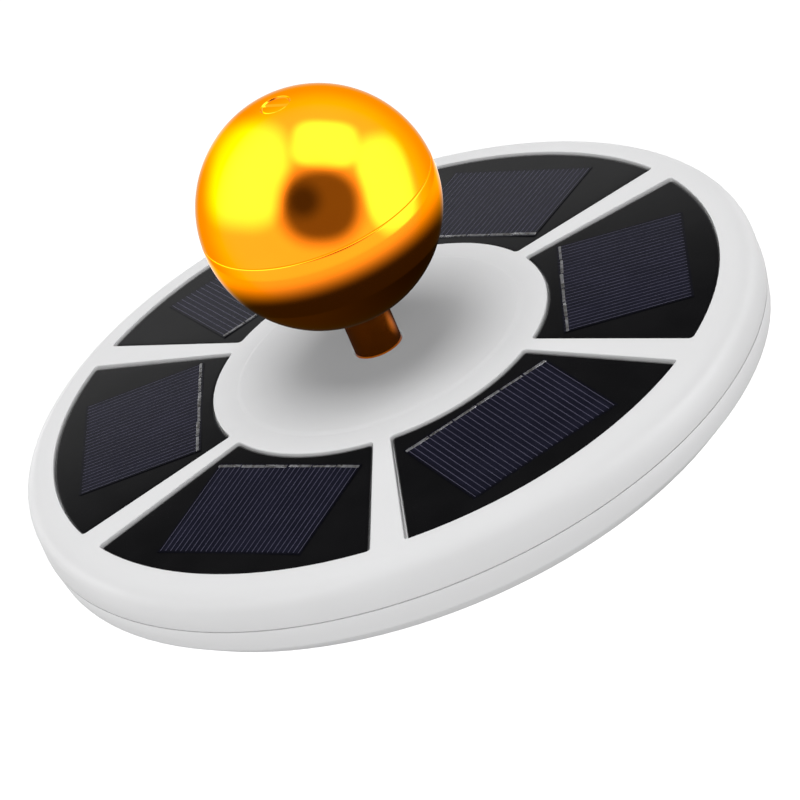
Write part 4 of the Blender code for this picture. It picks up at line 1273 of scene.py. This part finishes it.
@dataclass
class GoldBall:
    """The ball finial: two half shells that meet at a seam, with a slotted plug."""

    centre: float
    radius: float = 0.03125
    wall: float = 0.0012
    seam_rise: float = 0.0028
    hole: float = 0.0040
    edge_round: float = 0.00022
    plug_round: float = 0.0004
    slot: Point = (0.0006, 0.0008)
    steps: int = 144
    rows: int = 96

    def half(self, low: float, high: float) -> Workpiece:
        """A zone of the hollow ball between two heights above its centre.

        Args:
            low: The lower height.
            high: The upper height.

        Returns:
            The shell, centred on the ball's centre.
        """
        work = Workpiece()
        bmesh.ops.create_uvsphere(work.bm, u_segments=self.steps, v_segments=self.rows, radius=self.radius)
        for height, side in ((high, 1.0), (low, -1.0)):
            bmesh.ops.bisect_plane(work.bm, geom=[*work.bm.verts, *work.bm.edges, *work.bm.faces],
                                   plane_co=(0, 0, height), plane_no=(0, 0, side), clear_outer=True)
        work.tidy()
        bmesh.ops.solidify(work.bm, geom=work.bm.faces[:], thickness=self.wall)
        work.bm.normal_update()
        outside = work.sharp(STEEP, lambda middle: middle.length > self.radius - self.wall / 2)
        return work.soften(outside, self.edge_round, 3)

    def plug(self) -> Workpiece:
        """The slotted plug in the top hole."""
        low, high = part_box("ball_plug")
        radius = self.hole - CLEARANCE
        half, depth = self.slot
        work = Workpiece().turn([(0.0, high.z), (radius, high.z), (radius, low.z), (0.0, low.z)],
                                48, closed=False).tidy()
        work.soften_rings((radius, high.z, self.plug_round, 3))
        slot = Workpiece().box((-self.hole, -half, high.z - depth), (self.hole, half, high.z + depth))
        return work.carve(slot, Cut.TAKE)

    def build(self) -> None:
        """Build the three pieces."""
        lift = Matrix.Translation((0.0, 0.0, self.centre))
        hole_height = math.sqrt(self.radius ** 2 - self.hole ** 2)
        bore_height = math.sqrt(self.radius ** 2 - ROD_BORE ** 2)
        upper = self.half(self.seam_rise + CLEARANCE / 2, hole_height)
        lower = self.half(-bore_height, self.seam_rise - CLEARANCE / 2)
        fit(upper.move(lift), "ball_upper", Slot.GOLD, "ball_upper_shell", body=Body.BALL)
        fit(lower.move(lift), "ball_lower", Slot.GOLD, "ball_lower_shell", body=Body.BALL)
        fit(self.plug(), "top_plug", Slot.STEEL, "ball_plug", body=Body.BALL, finishes=[Finishes.GOLD])


@dataclass
class BallRod:
    """The rod that carries the ball, with its threaded lower end."""

    chamfer: float = 0.0010
    pitch: float = 0.00195
    thread_depth: float = 0.0009
    thread_turns: int = 15
    thread_start: float = 0.0015
    thread_foot: float = 1.2
    thread_flank: float = 0.46
    thread_crest: float = 0.0002
    steps: int = 64
    thread_steps: int = 32

    def shaft(self) -> Workpiece:
        """The plain shaft, necked down where the thread runs."""
        low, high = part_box("spindle")
        radius = high.x
        root = radius - self.thread_depth
        neck = low.z + self.thread_start + self.pitch * (self.thread_turns + 1)
        return Workpiece().turn([
            (0.0, high.z), (radius - self.chamfer, high.z), (radius, high.z - self.chamfer),
            (radius, neck + self.thread_depth), (root, neck), (root, low.z + self.chamfer / 2),
            (root - self.chamfer / 2, low.z), (0.0, low.z)], self.steps, closed=False)

    def ridge(self, work: Workpiece) -> None:
        """Wind the thread's ridge round the shaft."""
        low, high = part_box("spindle")
        radius = high.x
        root = radius - self.thread_depth * self.thread_foot
        start = low.z + self.thread_start
        half = self.pitch * self.thread_flank
        section = [(root, start), (radius, start + half - self.thread_crest),
                   (radius, start + half + self.thread_crest), (root, start + 2 * half)]
        corners = [work.bm.verts.new((r, 0.0, z)) for r, z in section]
        face = work.bm.faces.new(corners)
        count = self.thread_turns * self.thread_steps
        bmesh.ops.spin(work.bm, geom=[face, *face.edges, *corners], axis=(0, 0, 1), cent=(0, 0, 0),
                       dvec=(0, 0, self.pitch / self.thread_steps),
                       angle=math.tau * self.thread_turns, steps=count)

    def build(self) -> None:
        """Build the rod."""
        work = self.shaft()
        self.ridge(work)
        fit(work.tidy(), "ball_rod", Slot.GOLD, "spindle", body=Body.ROD, finishes=[Finishes.ROD_GOLD])


# ---------------------------------------------------------------- lamp


@dataclass
class Lamp:
    """The ring lamp in the underside: lens, reflector and twelve LEDs."""

    circle: float = 0.0331
    count: int = 12
    led: float = 0.0050
    ridge_pitch: float = 0.00165
    ridge_height: float = 0.0003
    ridge_land: float = 0.0015
    lens_inner: float = 0.0171
    lens_land: float = 0.0010
    lens_round: float = 0.0002
    cup_wall: float = 0.00025
    cup_top: float = 0.0039
    cup_mouth: float = 0.0064
    cup_depth: float = 0.0028
    flare: float = 0.0075
    flare_depth: float = 0.0033
    plate: float = 0.0006
    tray_outer: float = 0.0477
    tray_inner: float = 0.0185
    chip_corner: float = 0.0004
    chip_frame: float = 0.0006
    window_depth: float = 0.00025
    steps: int = 96

    def angles(self) -> list[float]:
        """Where the LEDs stand round the ring."""
        return [math.tau * (index + 0.5) / self.count for index in range(self.count)]

    def lens(self) -> Workpiece:
        """The clear ring, smooth outside and ridged inside."""
        low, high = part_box("lamp_lens")
        inner, outer = self.lens_inner, high.x
        count = round((outer - inner - 2 * self.ridge_land) / self.ridge_pitch)
        ridges = []
        for number in range(count):
            start = outer - self.ridge_land - number * self.ridge_pitch
            ridges += [(start, high.z - self.ridge_height), (start - self.ridge_pitch / 2, high.z)]
        last = ridges[-1][0] - self.ridge_pitch / 2
        points = [(inner, high.z), (inner, low.z), (outer, low.z), (outer, high.z),
                  (outer - self.lens_land, high.z), *ridges, (last, high.z - self.ridge_height)]
        work = Workpiece().turn(points, self.steps).tidy()
        return work.soften(work.ring(outer, low.z) + work.ring(inner, low.z), self.lens_round, 2)

    def reflector(self) -> Workpiece:
        """The plated dish with a cup round each LED."""
        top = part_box("lamp_reflector")[1].z
        low = top - self.plate
        outer, inner = self.tray_outer, self.tray_inner
        dish = Workpiece().turn([
            (outer - self.flare, top), (outer, top - self.flare_depth), (outer, low - self.flare_depth),
            (outer - self.flare, low), (inner + self.flare, low), (inner, low - self.flare_depth),
            (inner, top - self.flare_depth), (inner + self.flare, top)], self.steps)
        holes = Workpiece()
        half = self.led / 2 + CLEARANCE
        for angle in self.angles():
            holes.box((-half, -half, low - OVERSHOOT), (half, half, top + OVERSHOOT),
                      upright(self.circle, angle))
        dish = dish.carve(holes, Cut.TAKE)
        for angle in self.angles():
            before = len(dish.bm.faces)
            dish.cone((self.cup_mouth, self.cup_top), (low - self.cup_depth, low),
                      upright(self.circle, angle), 32, caps=False)
            dish.bm.faces.ensure_lookup_table()
            bmesh.ops.solidify(dish.bm, geom=dish.bm.faces[before:], thickness=self.cup_wall)
        return dish

    def chip(self, angle: float) -> Workpiece:
        """One LED: a white package with its window of phosphor, facing down."""
        low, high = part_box("led_01")
        half = self.led / 2
        work = Workpiece().box((-half, -half, low.z), (half, half, high.z))
        corners = [e for e in work.bm.edges if (e.verts[0].co - e.verts[1].co).xy.length < MERGE]
        work.soften(corners, self.chip_corner, 2)
        work.bm.normal_update()
        window = [f for f in work.bm.faces if f.normal.z < -FACING]
        bmesh.ops.inset_region(work.bm, faces=window, thickness=self.chip_frame, use_even_offset=True)
        bmesh.ops.inset_region(work.bm, faces=window, thickness=self.window_depth,
                               depth=-self.window_depth, use_even_offset=True)
        for face in window:
            face.material_index = 1
        return work.move(upright(self.circle, angle))

    def build(self) -> None:
        """Build the lamp's pieces."""
        fit(self.lens(), "lens_ring", Slot.LENS, "lamp_lens")
        fit(self.reflector(), "reflector_dish", Slot.REFLECTOR, "lamp_reflector")
        for number, angle in enumerate(self.angles(), start=1):
            fit(self.chip(angle), f"led_chip_{number:02d}", Slot.PHOSPHOR, f"led_{number:02d}",
                finishes=[Finishes.PACKAGE, Finishes.PHOSPHOR])


# ---------------------------------------------------------------- battery and switch


@dataclass
class BatteryDoor:
    """The hinged door: a framed plate with a finger notch and a hinge barrel."""

    bay: Bay
    corner: float = 0.0018
    frame: float = 0.0020
    recess: float = 0.0003
    notch: float = 0.0050
    notch_draft: float = 0.0006
    notch_depth: float = 0.0008
    edge_round: float = 0.0003
    barrel_short: float = 0.0003
    barrel_round: float = 0.0002

    def build(self) -> None:
        """Build the door."""
        bottom = -self.bay.barrel
        top = bottom + self.bay.door_thickness
        half = self.bay.door_half
        work = Workpiece().box((self.bay.door_inner, -half, bottom), (0.0, half, top))
        far = self.bay.door_inner + MERGE
        corners = work.sharp(where=lambda m: m.x < far and abs(m.y) > half - MERGE)
        work.soften(corners, self.corner, 4)
        work.bm.normal_update()
        panel = [f for f in work.bm.faces if f.normal.z < -FACING]
        bmesh.ops.inset_region(work.bm, faces=panel, thickness=self.frame, use_even_offset=True)
        bmesh.ops.inset_region(work.bm, faces=panel, thickness=self.recess, depth=-self.recess,
                               use_even_offset=True)
        work.bm.normal_update()
        rims = work.sharp(where=lambda m: m.z < bottom + MERGE or m.z > top - MERGE)
        work.soften(rims, self.edge_round, 2)
        end = half - self.barrel_short
        barrel = Workpiece().cone((self.bay.barrel, self.bay.barrel), (-end, end),
                                  Matrix.Rotation(math.pi / 2, 4, "X"), 32)
        barrel.soften(barrel.sharp(STEEP), self.barrel_round, 2)
        work = work.carve(barrel, Cut.JOIN)
        notch = Workpiece().cone((self.notch + self.notch_draft, self.notch),
                                 (bottom - self.barrel_round, bottom + self.notch_depth),
                                 Matrix.Translation((self.bay.door_inner, 0.0, 0.0)), 40)
        work = work.carve(notch, Cut.TAKE)
        fit(work.move(self.bay.hinge()), "bay_door", Slot.WHITE, "battery_door", body=Body.DOOR)


@dataclass
class BatteryCell:
    """The rechargeable cell in its shrunk sleeve."""

    bay: Bay
    radius: float = 0.0090
    tail: float = -0.03135
    length: float = 0.0638
    nub: float = 0.0030
    nub_length: float = 0.0012
    nub_round: float = 0.0004
    crimp_back: float = 0.0042
    crimp: Point = (0.0014, 0.0005)
    cap_rim: float = 0.0062
    sleeve_rim: float = 0.0068
    base_rim: float = 0.0072
    base_sunk: float = 0.0002
    shoulder_fall: float = 0.0001
    shoulder_round: float = 0.0006
    metal_radius: float = 0.0066
    metal_reach: float = 0.0010

    def build(self) -> None:
        """Build the cell, lying along the bay."""
        low, shoulder = self.tail, self.tail + self.length
        edge, tip, sunk = shoulder - self.shoulder_fall, shoulder + self.nub_length, low + self.base_sunk
        crimp = shoulder - self.crimp_back
        width, depth = self.crimp
        work = Workpiece().turn([
            (0.0, tip), (self.nub, tip), (self.nub, shoulder), (self.cap_rim, shoulder),
            (self.sleeve_rim, shoulder + self.shoulder_fall), (self.radius, edge),
            (self.radius, crimp + width), (self.radius - depth, crimp + width / 2), (self.radius, crimp),
            (self.radius, low), (self.base_rim, low), (self.sleeve_rim, sunk), (0.0, sunk)],
            48, closed=False).tidy()
        work.soften([*work.ring(self.radius, low), *work.ring(self.radius, edge)], self.shoulder_round, 3)
        work.soften(work.ring(self.nub, tip), self.nub_round, 3)

        def metal(face: bmesh.types.BMFace) -> bool:
            """Whether a face is bare metal at either end."""
            spot = face.calc_center_median()
            between = low + self.metal_reach < spot.z < shoulder - self.metal_reach
            return spot.xy.length < self.metal_radius and not between
        work.tidy().paint(metal, 1)
        lie = Matrix.Rotation(-math.pi / 2, 4, "X")
        fit(work.move(self.bay.axis() @ lie), "power_cell", Slot.SLEEVE, "battery_cell",
            finishes=[Finishes.SLEEVE, Finishes.NICKEL])


@dataclass
class PushSwitch:
    """The switch in the underside: a dished button in a hexagonal nut."""

    button: float = 0.0045
    flange: float = 0.0054
    flange_height: float = 0.0010
    face: float = 0.0034
    dish: float = 0.0003
    nut: float = 0.0072
    edge_round: float = 0.0003

    def build(self) -> None:
        """Build the button and the nut."""
        matrix = upright(SWITCH_RADIUS, SWITCH_ANGLE)
        low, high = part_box("switch_button")
        work = Workpiece().turn([
            (0.0, high.z), (self.flange, high.z), (self.flange, high.z - self.flange_height),
            (self.button, high.z - self.flange_height), (self.button, low.z), (self.face, low.z),
            (self.face - self.dish, low.z + self.dish), (0.0, low.z + self.dish)], 48, closed=False).tidy()
        work.soften([*work.ring(self.button, low.z), *work.ring(self.face, low.z)], self.edge_round, 3)
        fit(work.move(matrix), "push_button", Slot.BUTTON, "switch_button", body=Body.BUTTON)

        low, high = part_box("switch_nut")
        nut = Workpiece().cone((self.nut, self.nut), (low.z, high.z), steps=6)
        nut.soften(nut.sharp(), self.edge_round, 2)
        hole = Workpiece().cone((SWITCH_BORE, SWITCH_BORE), (low.z - OVERSHOOT, high.z + OVERSHOOT),
                                steps=48)
        fit(nut.carve(hole, Cut.TAKE).move(matrix), "switch_ring", Slot.BLACK, "switch_nut")


class CarriedParts:
    """The CAD nodes whose shape is kept, in better finishes."""

    @staticmethod
    def dress(frame: dict) -> None:
        """Give each shown CAD node the finish of its slot.
        """
        slots = {part["node"]: Slot(part["material_slot"]) for part in frame["record"]["subparts"]}
        for name, node in sorted(frame["nodes"].items()):
            if node.hide_render:
                continue
            for place in node.material_slots:
                place.material = Finishes.FOR_SLOT[slots[name]].build()
            LOG.info("%s: carried over in %s", name, slots[name].value)


# ---------------------------------------------------------------- studio


@dataclass(frozen=True)
class Patch:
    """A bright or dark part of the surroundings, placed by the normal that mirrors it."""

    centre: Point
    half: Point
    turn: float
    square: float
    soft: float
    level: float


PANEL_LIGHTS = (
    Patch((-0.56, 0.25), (0.31, 0.41), -8.0, 2.8, 0.24, 2.8),
    Patch((0.05, 0.48), (0.255, 0.185), -3.0, 3.2, 0.20, 3.0),
    Patch((0.54, 0.18), (0.20, 0.39), 16.0, 2.8, 0.22, 3.0),
)
DARK_OPENINGS = (
    Patch((0.02, -0.01), (0.33, 0.31), 0.0, 2.3, 0.30, 0.12),
    Patch((-0.12, 0.03), (0.13, 0.13), 0.0, 2.0, 0.60, 0.30),
)


@dataclass(frozen=True)
class SoftLight:
    """A square area light that shades the plastic and leaves the reflections alone."""

    name: str
    direction: tuple[float, float, float]
    distance: float
    side: float
    power: float


SOFT_LIGHTS = (
    SoftLight("overhead", (0.0, 0.0, 1.0), 1.0, 0.75, 7.4),
    SoftLight("key", (0.45, -0.75, 0.60), 1.4, 0.6, 1.5),
)


@dataclass
class Studio:
    """Camera, soft lights, cards and floor."""

    azimuth: float = math.radians(-49.05)
    elevation: float = math.radians(29.37)
    roll: float = math.radians(-23.37)
    distance: float = 1.2160
    aside: float = 0.00542
    below: float = 0.0140
    lens: float = 213.5
    sensor: float = 36.0
    clip: Point = (0.05, 20.0)
    aim_drop: float = 0.0009
    floor_drop: float = 0.25
    floor_half: float = 10.0
    floor_grey: Colour = (0.9, 0.9, 0.9)
    floor_glow: float = 0.6
    card_gap: float = 0.00006
    under_gap: float = 0.0002
    low_sky: Point = (-0.8, 0.35)
    low_levels: Point = (0.74, 1.06)
    high_sky: Point = (0.15, 0.80)
    zenith: float = 0.10
    tent: float = 2.0
    tent_rim: float = 0.45
    tent_edge: Point = (0.80, 1.0)
    ground: float = 0.03
    ground_edge: Point = (-0.68, -0.46)
    card_height: float = 0.070
    card_middle: float = 0.10
    card_size: Point = (0.60, 0.46)
    card_span: Point = (0.02, 0.17)
    card_levels: Point = (0.025, 0.20)
    deck_span: Point = (0.048, 0.092)
    deck_levels: Point = (0.03, 1.5)
    glow_reach: float = 0.016
    glow_radius: float = 0.009
    glow_level: float = 0.5
    under_radius: float = 0.030
    under_levels: Point = (0.045, 0.012)
    back: Vector = field(init=False)
    right: Vector = field(init=False)
    up: Vector = field(init=False)

    def __post_init__(self) -> None:
        """Work out the camera's three directions."""
        level = math.cos(self.elevation)
        self.back = Vector((level * math.cos(self.azimuth), level * math.sin(self.azimuth),
                            math.sin(self.elevation)))
        flat = Vector((-math.sin(self.azimuth), math.cos(self.azimuth), 0.0))
        rise = self.back.cross(flat)
        self.right = math.cos(self.roll) * flat + math.sin(self.roll) * rise
        self.up = self.back.cross(self.right)

    def camera(self, target: Vector) -> None:
        """Set the camera up.

        Args:
            target: The middle of the housing's top.
        """
        data = bpy.data.cameras.new("camera")
        data.lens = self.lens
        data.sensor_width = self.sensor
        data.clip_start, data.clip_end = self.clip
        camera = put("camera", data)
        turn = Matrix((self.right, self.up, self.back)).transposed().to_4x4()
        spot = target + self.back * self.distance + self.right * self.aside - self.up * self.below
        camera.matrix_world = Matrix.Translation(spot) @ turn
        bpy.context.scene.camera = camera

    @staticmethod
    def patch(board: NodeBoard, plan: tuple[Socket, Socket], shape: Patch) -> Socket:
        """A soft rounded patch of the surroundings.

        Args:
            board: The world's nodes.
            plan: The two coordinates of a direction.
            shape: The patch.

        Returns:
            A mask, 1 inside.
        """
        across = board.math("SUBTRACT", plan[0], shape.centre[0])
        along = board.math("SUBTRACT", plan[1], shape.centre[1])
        cos, sin = math.cos(math.radians(shape.turn)), math.sin(math.radians(shape.turn))
        first = board.math("MULTIPLY_ADD", across, cos, board.math("MULTIPLY", along, sin))
        second = board.math("MULTIPLY_ADD", along, cos, board.math("MULTIPLY", across, -sin))
        shares = [board.math("DIVIDE", value, size)
                  for value, size in ((first, shape.half[0]), (second, shape.half[1]))]
        powers = [board.math("POWER", board.math("ABSOLUTE", share), shape.square) for share in shares]
        reach = board.math("POWER", board.math("ADD", *powers), 1.0 / shape.square)
        return board.ramp(reach, 1.0 - shape.soft, 1.0 + shape.soft, 1.0, 0.0)

    def surroundings(self, board: NodeBoard) -> Socket:
        """Brightness that polished metal sees: a light tent with three panels and a dark opening."""
        ray = board.add("TexCoord").outputs["Generated"]
        halfway = board.add("VectorMath", {0: ray, 1: tuple(self.back)}, operation="ADD").outputs[0]
        normal = board.add("VectorMath", {0: halfway}, operation="NORMALIZE").outputs[0]
        plan = (board.dot(normal, self.right), board.dot(normal, self.up))
        reach = board.math("SQRT", board.math("MULTIPLY_ADD", plan[0], plan[0],
                                              board.math("MULTIPLY", plan[1], plan[1])))
        level: Socket | float = self.tent
        for shape in PANEL_LIGHTS:
            level = board.math("MULTIPLY_ADD", self.patch(board, plan, shape), shape.level, level)
        level = board.math("MULTIPLY", level, board.ramp(reach, *self.tent_edge, 1.0, self.tent_rim))
        for shape in DARK_OPENINGS:
            mask = self.patch(board, plan, shape)
            level = board.math("MULTIPLY", level, board.ramp(mask, 0.0, 1.0, 1.0, shape.level, soft=False))
        height = board.add("SeparateXYZ", {0: ray}).outputs["Z"]
        base = board.ramp(height, *self.ground_edge, self.ground, 1.0)
        return board.math("MULTIPLY", level, base)

    def world(self) -> None:
        """White to the camera, soft from above for the plastic, and a light tent for the metal."""
        world = bpy.data.worlds.new("light_tent")
        bpy.context.scene.world = world
        world.use_nodes = True
        board = NodeBoard(world.node_tree)
        height = board.add("SeparateXYZ", {0: board.add("TexCoord").outputs["Generated"]}).outputs["Z"]
        low_part = board.ramp(height, *self.low_sky, *self.low_levels, soft=False)
        ambient = board.math("MULTIPLY", low_part, board.ramp(height, *self.high_sky, 1.0, self.zenith))
        path = board.add("LightPath")
        glossy = path.outputs["Is Glossy Ray"]
        tent = self.surroundings(board)
        seen = board.math("MULTIPLY_ADD", glossy, board.math("SUBTRACT", tent, ambient), ambient)
        share = path.outputs["Is Camera Ray"]
        level = board.math("MULTIPLY_ADD", share, board.math("SUBTRACT", 1.0, seen), seen)
        shader = board.add("Background", {"Color": (1.0, 1.0, 1.0, 1.0), "Strength": level})
        board.add("OutputWorld", {"Surface": shader.outputs[0]})

    @staticmethod
    def shown_to_glossy(item: bpy.types.Object) -> None:
        """Leave an object to reflections alone."""
        for kind in ("camera", "diffuse", "transmission", "volume_scatter", "shadow"):
            setattr(item, f"visible_{kind}", False)

    def card(self, name: str, work: Workpiece, level: Callable[[NodeBoard, Socket], Socket]) -> None:
        """A card that only reflections see, and only from its front.

        Args:
            name: Its name.
            work: Its flat shape, facing the side it is seen from.
            level: Builds its brightness from its Object coordinates.
        """
        card = put(name, work.mesh(name))
        material, board = blank_material(name)
        board.one_sided(board.add("Emission", {"Strength": level(board, board.here())}).outputs[0])
        card.data.materials.append(material)
        self.shown_to_glossy(card)
        card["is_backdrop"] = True

    def over_panels(self, away: Vector) -> None:
        """The card over the panels, seen from below and brighter at its far end.

        Args:
            away: The level direction away from the camera.
        """
        side = Vector((away.y, -away.x, 0.0))
        turned = Matrix((-side, away, Vector((0.0, 0.0, -1.0)))).transposed().to_4x4()
        place = Matrix.Translation(away * self.card_middle + Vector((0.0, 0.0, self.card_height))) @ turned
        work = Workpiece()
        bmesh.ops.create_grid(work.bm, x_segments=1, y_segments=1, size=0.5,
                              matrix=place @ Matrix.Diagonal((*self.card_size, 1.0, 1.0)))
        self.card("card_over_panels", work, lambda board, spot: board.ramp(
            board.dot(spot, away), *self.card_span, *self.card_levels))

    def on_deck(self, right: Vector) -> None:
        """The card on the deck, with a glow beside the rod, and the dark card under the ball.

        Args:
            right: The level direction to the right of the camera.
        """
        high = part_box("upper_housing")[1]
        glow = right.normalized() * self.glow_reach + Vector((0.0, 0.0, high.z))

        def level(board: NodeBoard, spot: Socket) -> Socket:
            """Dark round the rod, bright at the rim and in the glow."""
            flat = board.add("VectorMath", {0: spot, 1: (1.0, 1.0, 0.0)}, operation="MULTIPLY").outputs[0]
            reach = board.add("VectorMath", {0: flat}, operation="LENGTH").outputs["Value"]
            near = board.add("VectorMath", {0: spot, 1: tuple(glow)}, operation="DISTANCE").outputs["Value"]
            rim = board.ramp(reach, *self.deck_span, *self.deck_levels)
            return board.math("ADD", rim, board.ramp(near, 0.0, self.glow_radius, self.glow_level, 0.0))
        for name, radius, height, builder in (
                ("card_on_deck", high.x, high.z + self.card_gap, level),
                ("card_under_ball", self.under_radius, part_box("ball_lower_shell")[0].z - self.under_gap,
                 lambda board, spot: board.ramp(board.dot(spot, right), -self.under_radius,
                                                self.under_radius, *self.under_levels))):
            work = Workpiece()
            bmesh.ops.create_circle(work.bm, cap_ends=True, segments=96, radius=radius,
                                    matrix=Matrix.Translation((0.0, 0.0, height)))
            self.card(name, work, builder)

    def cards(self) -> None:
        """Place the cards."""
        away = Vector((-self.back.x, -self.back.y, 0.0)).normalized()
        self.over_panels(away)
        self.on_deck(Vector((away.y, -away.x, 0.0)))

    @staticmethod
    def light(given: SoftLight) -> None:
        """Hang a soft light that reflections don't see.

        Args:
            given: The light.
        """
        data = bpy.data.lights.new(given.name, "AREA")
        data.shape = "RECTANGLE"
        data.size = data.size_y = given.side
        data.energy = given.power
        data.cycles.use_multiple_importance_sampling = False
        lamp = put(given.name, data)
        way = Vector(given.direction).normalized()
        turn = way.to_track_quat("Z", "Y").to_matrix().to_4x4()
        lamp.matrix_world = Matrix.Translation(way * given.distance) @ turn
        lamp.visible_camera = False
        lamp.visible_glossy = False

    def floor(self) -> None:
        """A plain pale floor, open from below."""
        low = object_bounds()[0].z - self.floor_drop
        work = Workpiece()
        bmesh.ops.create_grid(work.bm, x_segments=1, y_segments=1, size=self.floor_half,
                              matrix=Matrix.Translation((0.0, 0.0, low)))
        floor = put("floor", work.mesh("floor"))
        material, board = blank_material("pale_floor")
        paper = board.add("BsdfDiffuse", {"Color": (*self.floor_grey, 1.0)})
        glow = board.add("Emission", {"Strength": self.floor_glow})
        board.one_sided(board.add("AddShader", {0: paper.outputs[0], 1: glow.outputs[0]}).outputs[0])
        floor.data.materials.append(material)
        for kind in ("diffuse", "glossy", "transmission"):
            setattr(floor, f"visible_{kind}", False)
        floor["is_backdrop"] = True

    def build(self) -> None:
        """Build the studio round the loaded frame."""
        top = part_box("upper_housing")[1].z
        self.camera(Vector((0.0, 0.0, top - self.aim_drop)))
        self.world()
        for soft in SOFT_LIGHTS:
            self.light(soft)
        self.floor()
        self.cards()
        bpy.context.scene.view_settings.view_transform = "Standard"

    @staticmethod
    def part_reflections() -> None:
        """Keep the gold's bounce off the plastic, and the gold out of the panels."""
        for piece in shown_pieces():
            if body_of(piece)[0] in (Body.BALL.value, Body.ROD.value):
                piece.visible_glossy = False
                piece.visible_diffuse = False


def main() -> None:
    """Load the frame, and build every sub-assembly."""
    logging.basicConfig(level=logging.INFO, format="%(name)s: %(message)s")
    for old in list(bpy.data.objects):
        bpy.data.objects.remove(old, do_unlink=True)
    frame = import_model()
    deck, bay = Deck(), Bay()
    ball_turn = next(joint for joint in frame["joints"] if joint["name"] == "ball_turn")

    studio = Studio()
    studio.build()
    assemblies = [UpperShell(deck), LowerShell(bay), PoleSleeve(), HousingScrews(),
                  *[SolarPanel(deck, index + 1) for index in range(PANELS)],
                  GoldBall(ball_turn["pos_m"][2]), BallRod(), Lamp(), BatteryDoor(bay), BatteryCell(bay),
                  PushSwitch()]
    for assembly in assemblies:
        LOG.info("building %s", type(assembly).__name__)
        assembly.build()
    CarriedParts.dress(frame)
    studio.part_reflections()


if __name__ == "__main__":
    main()
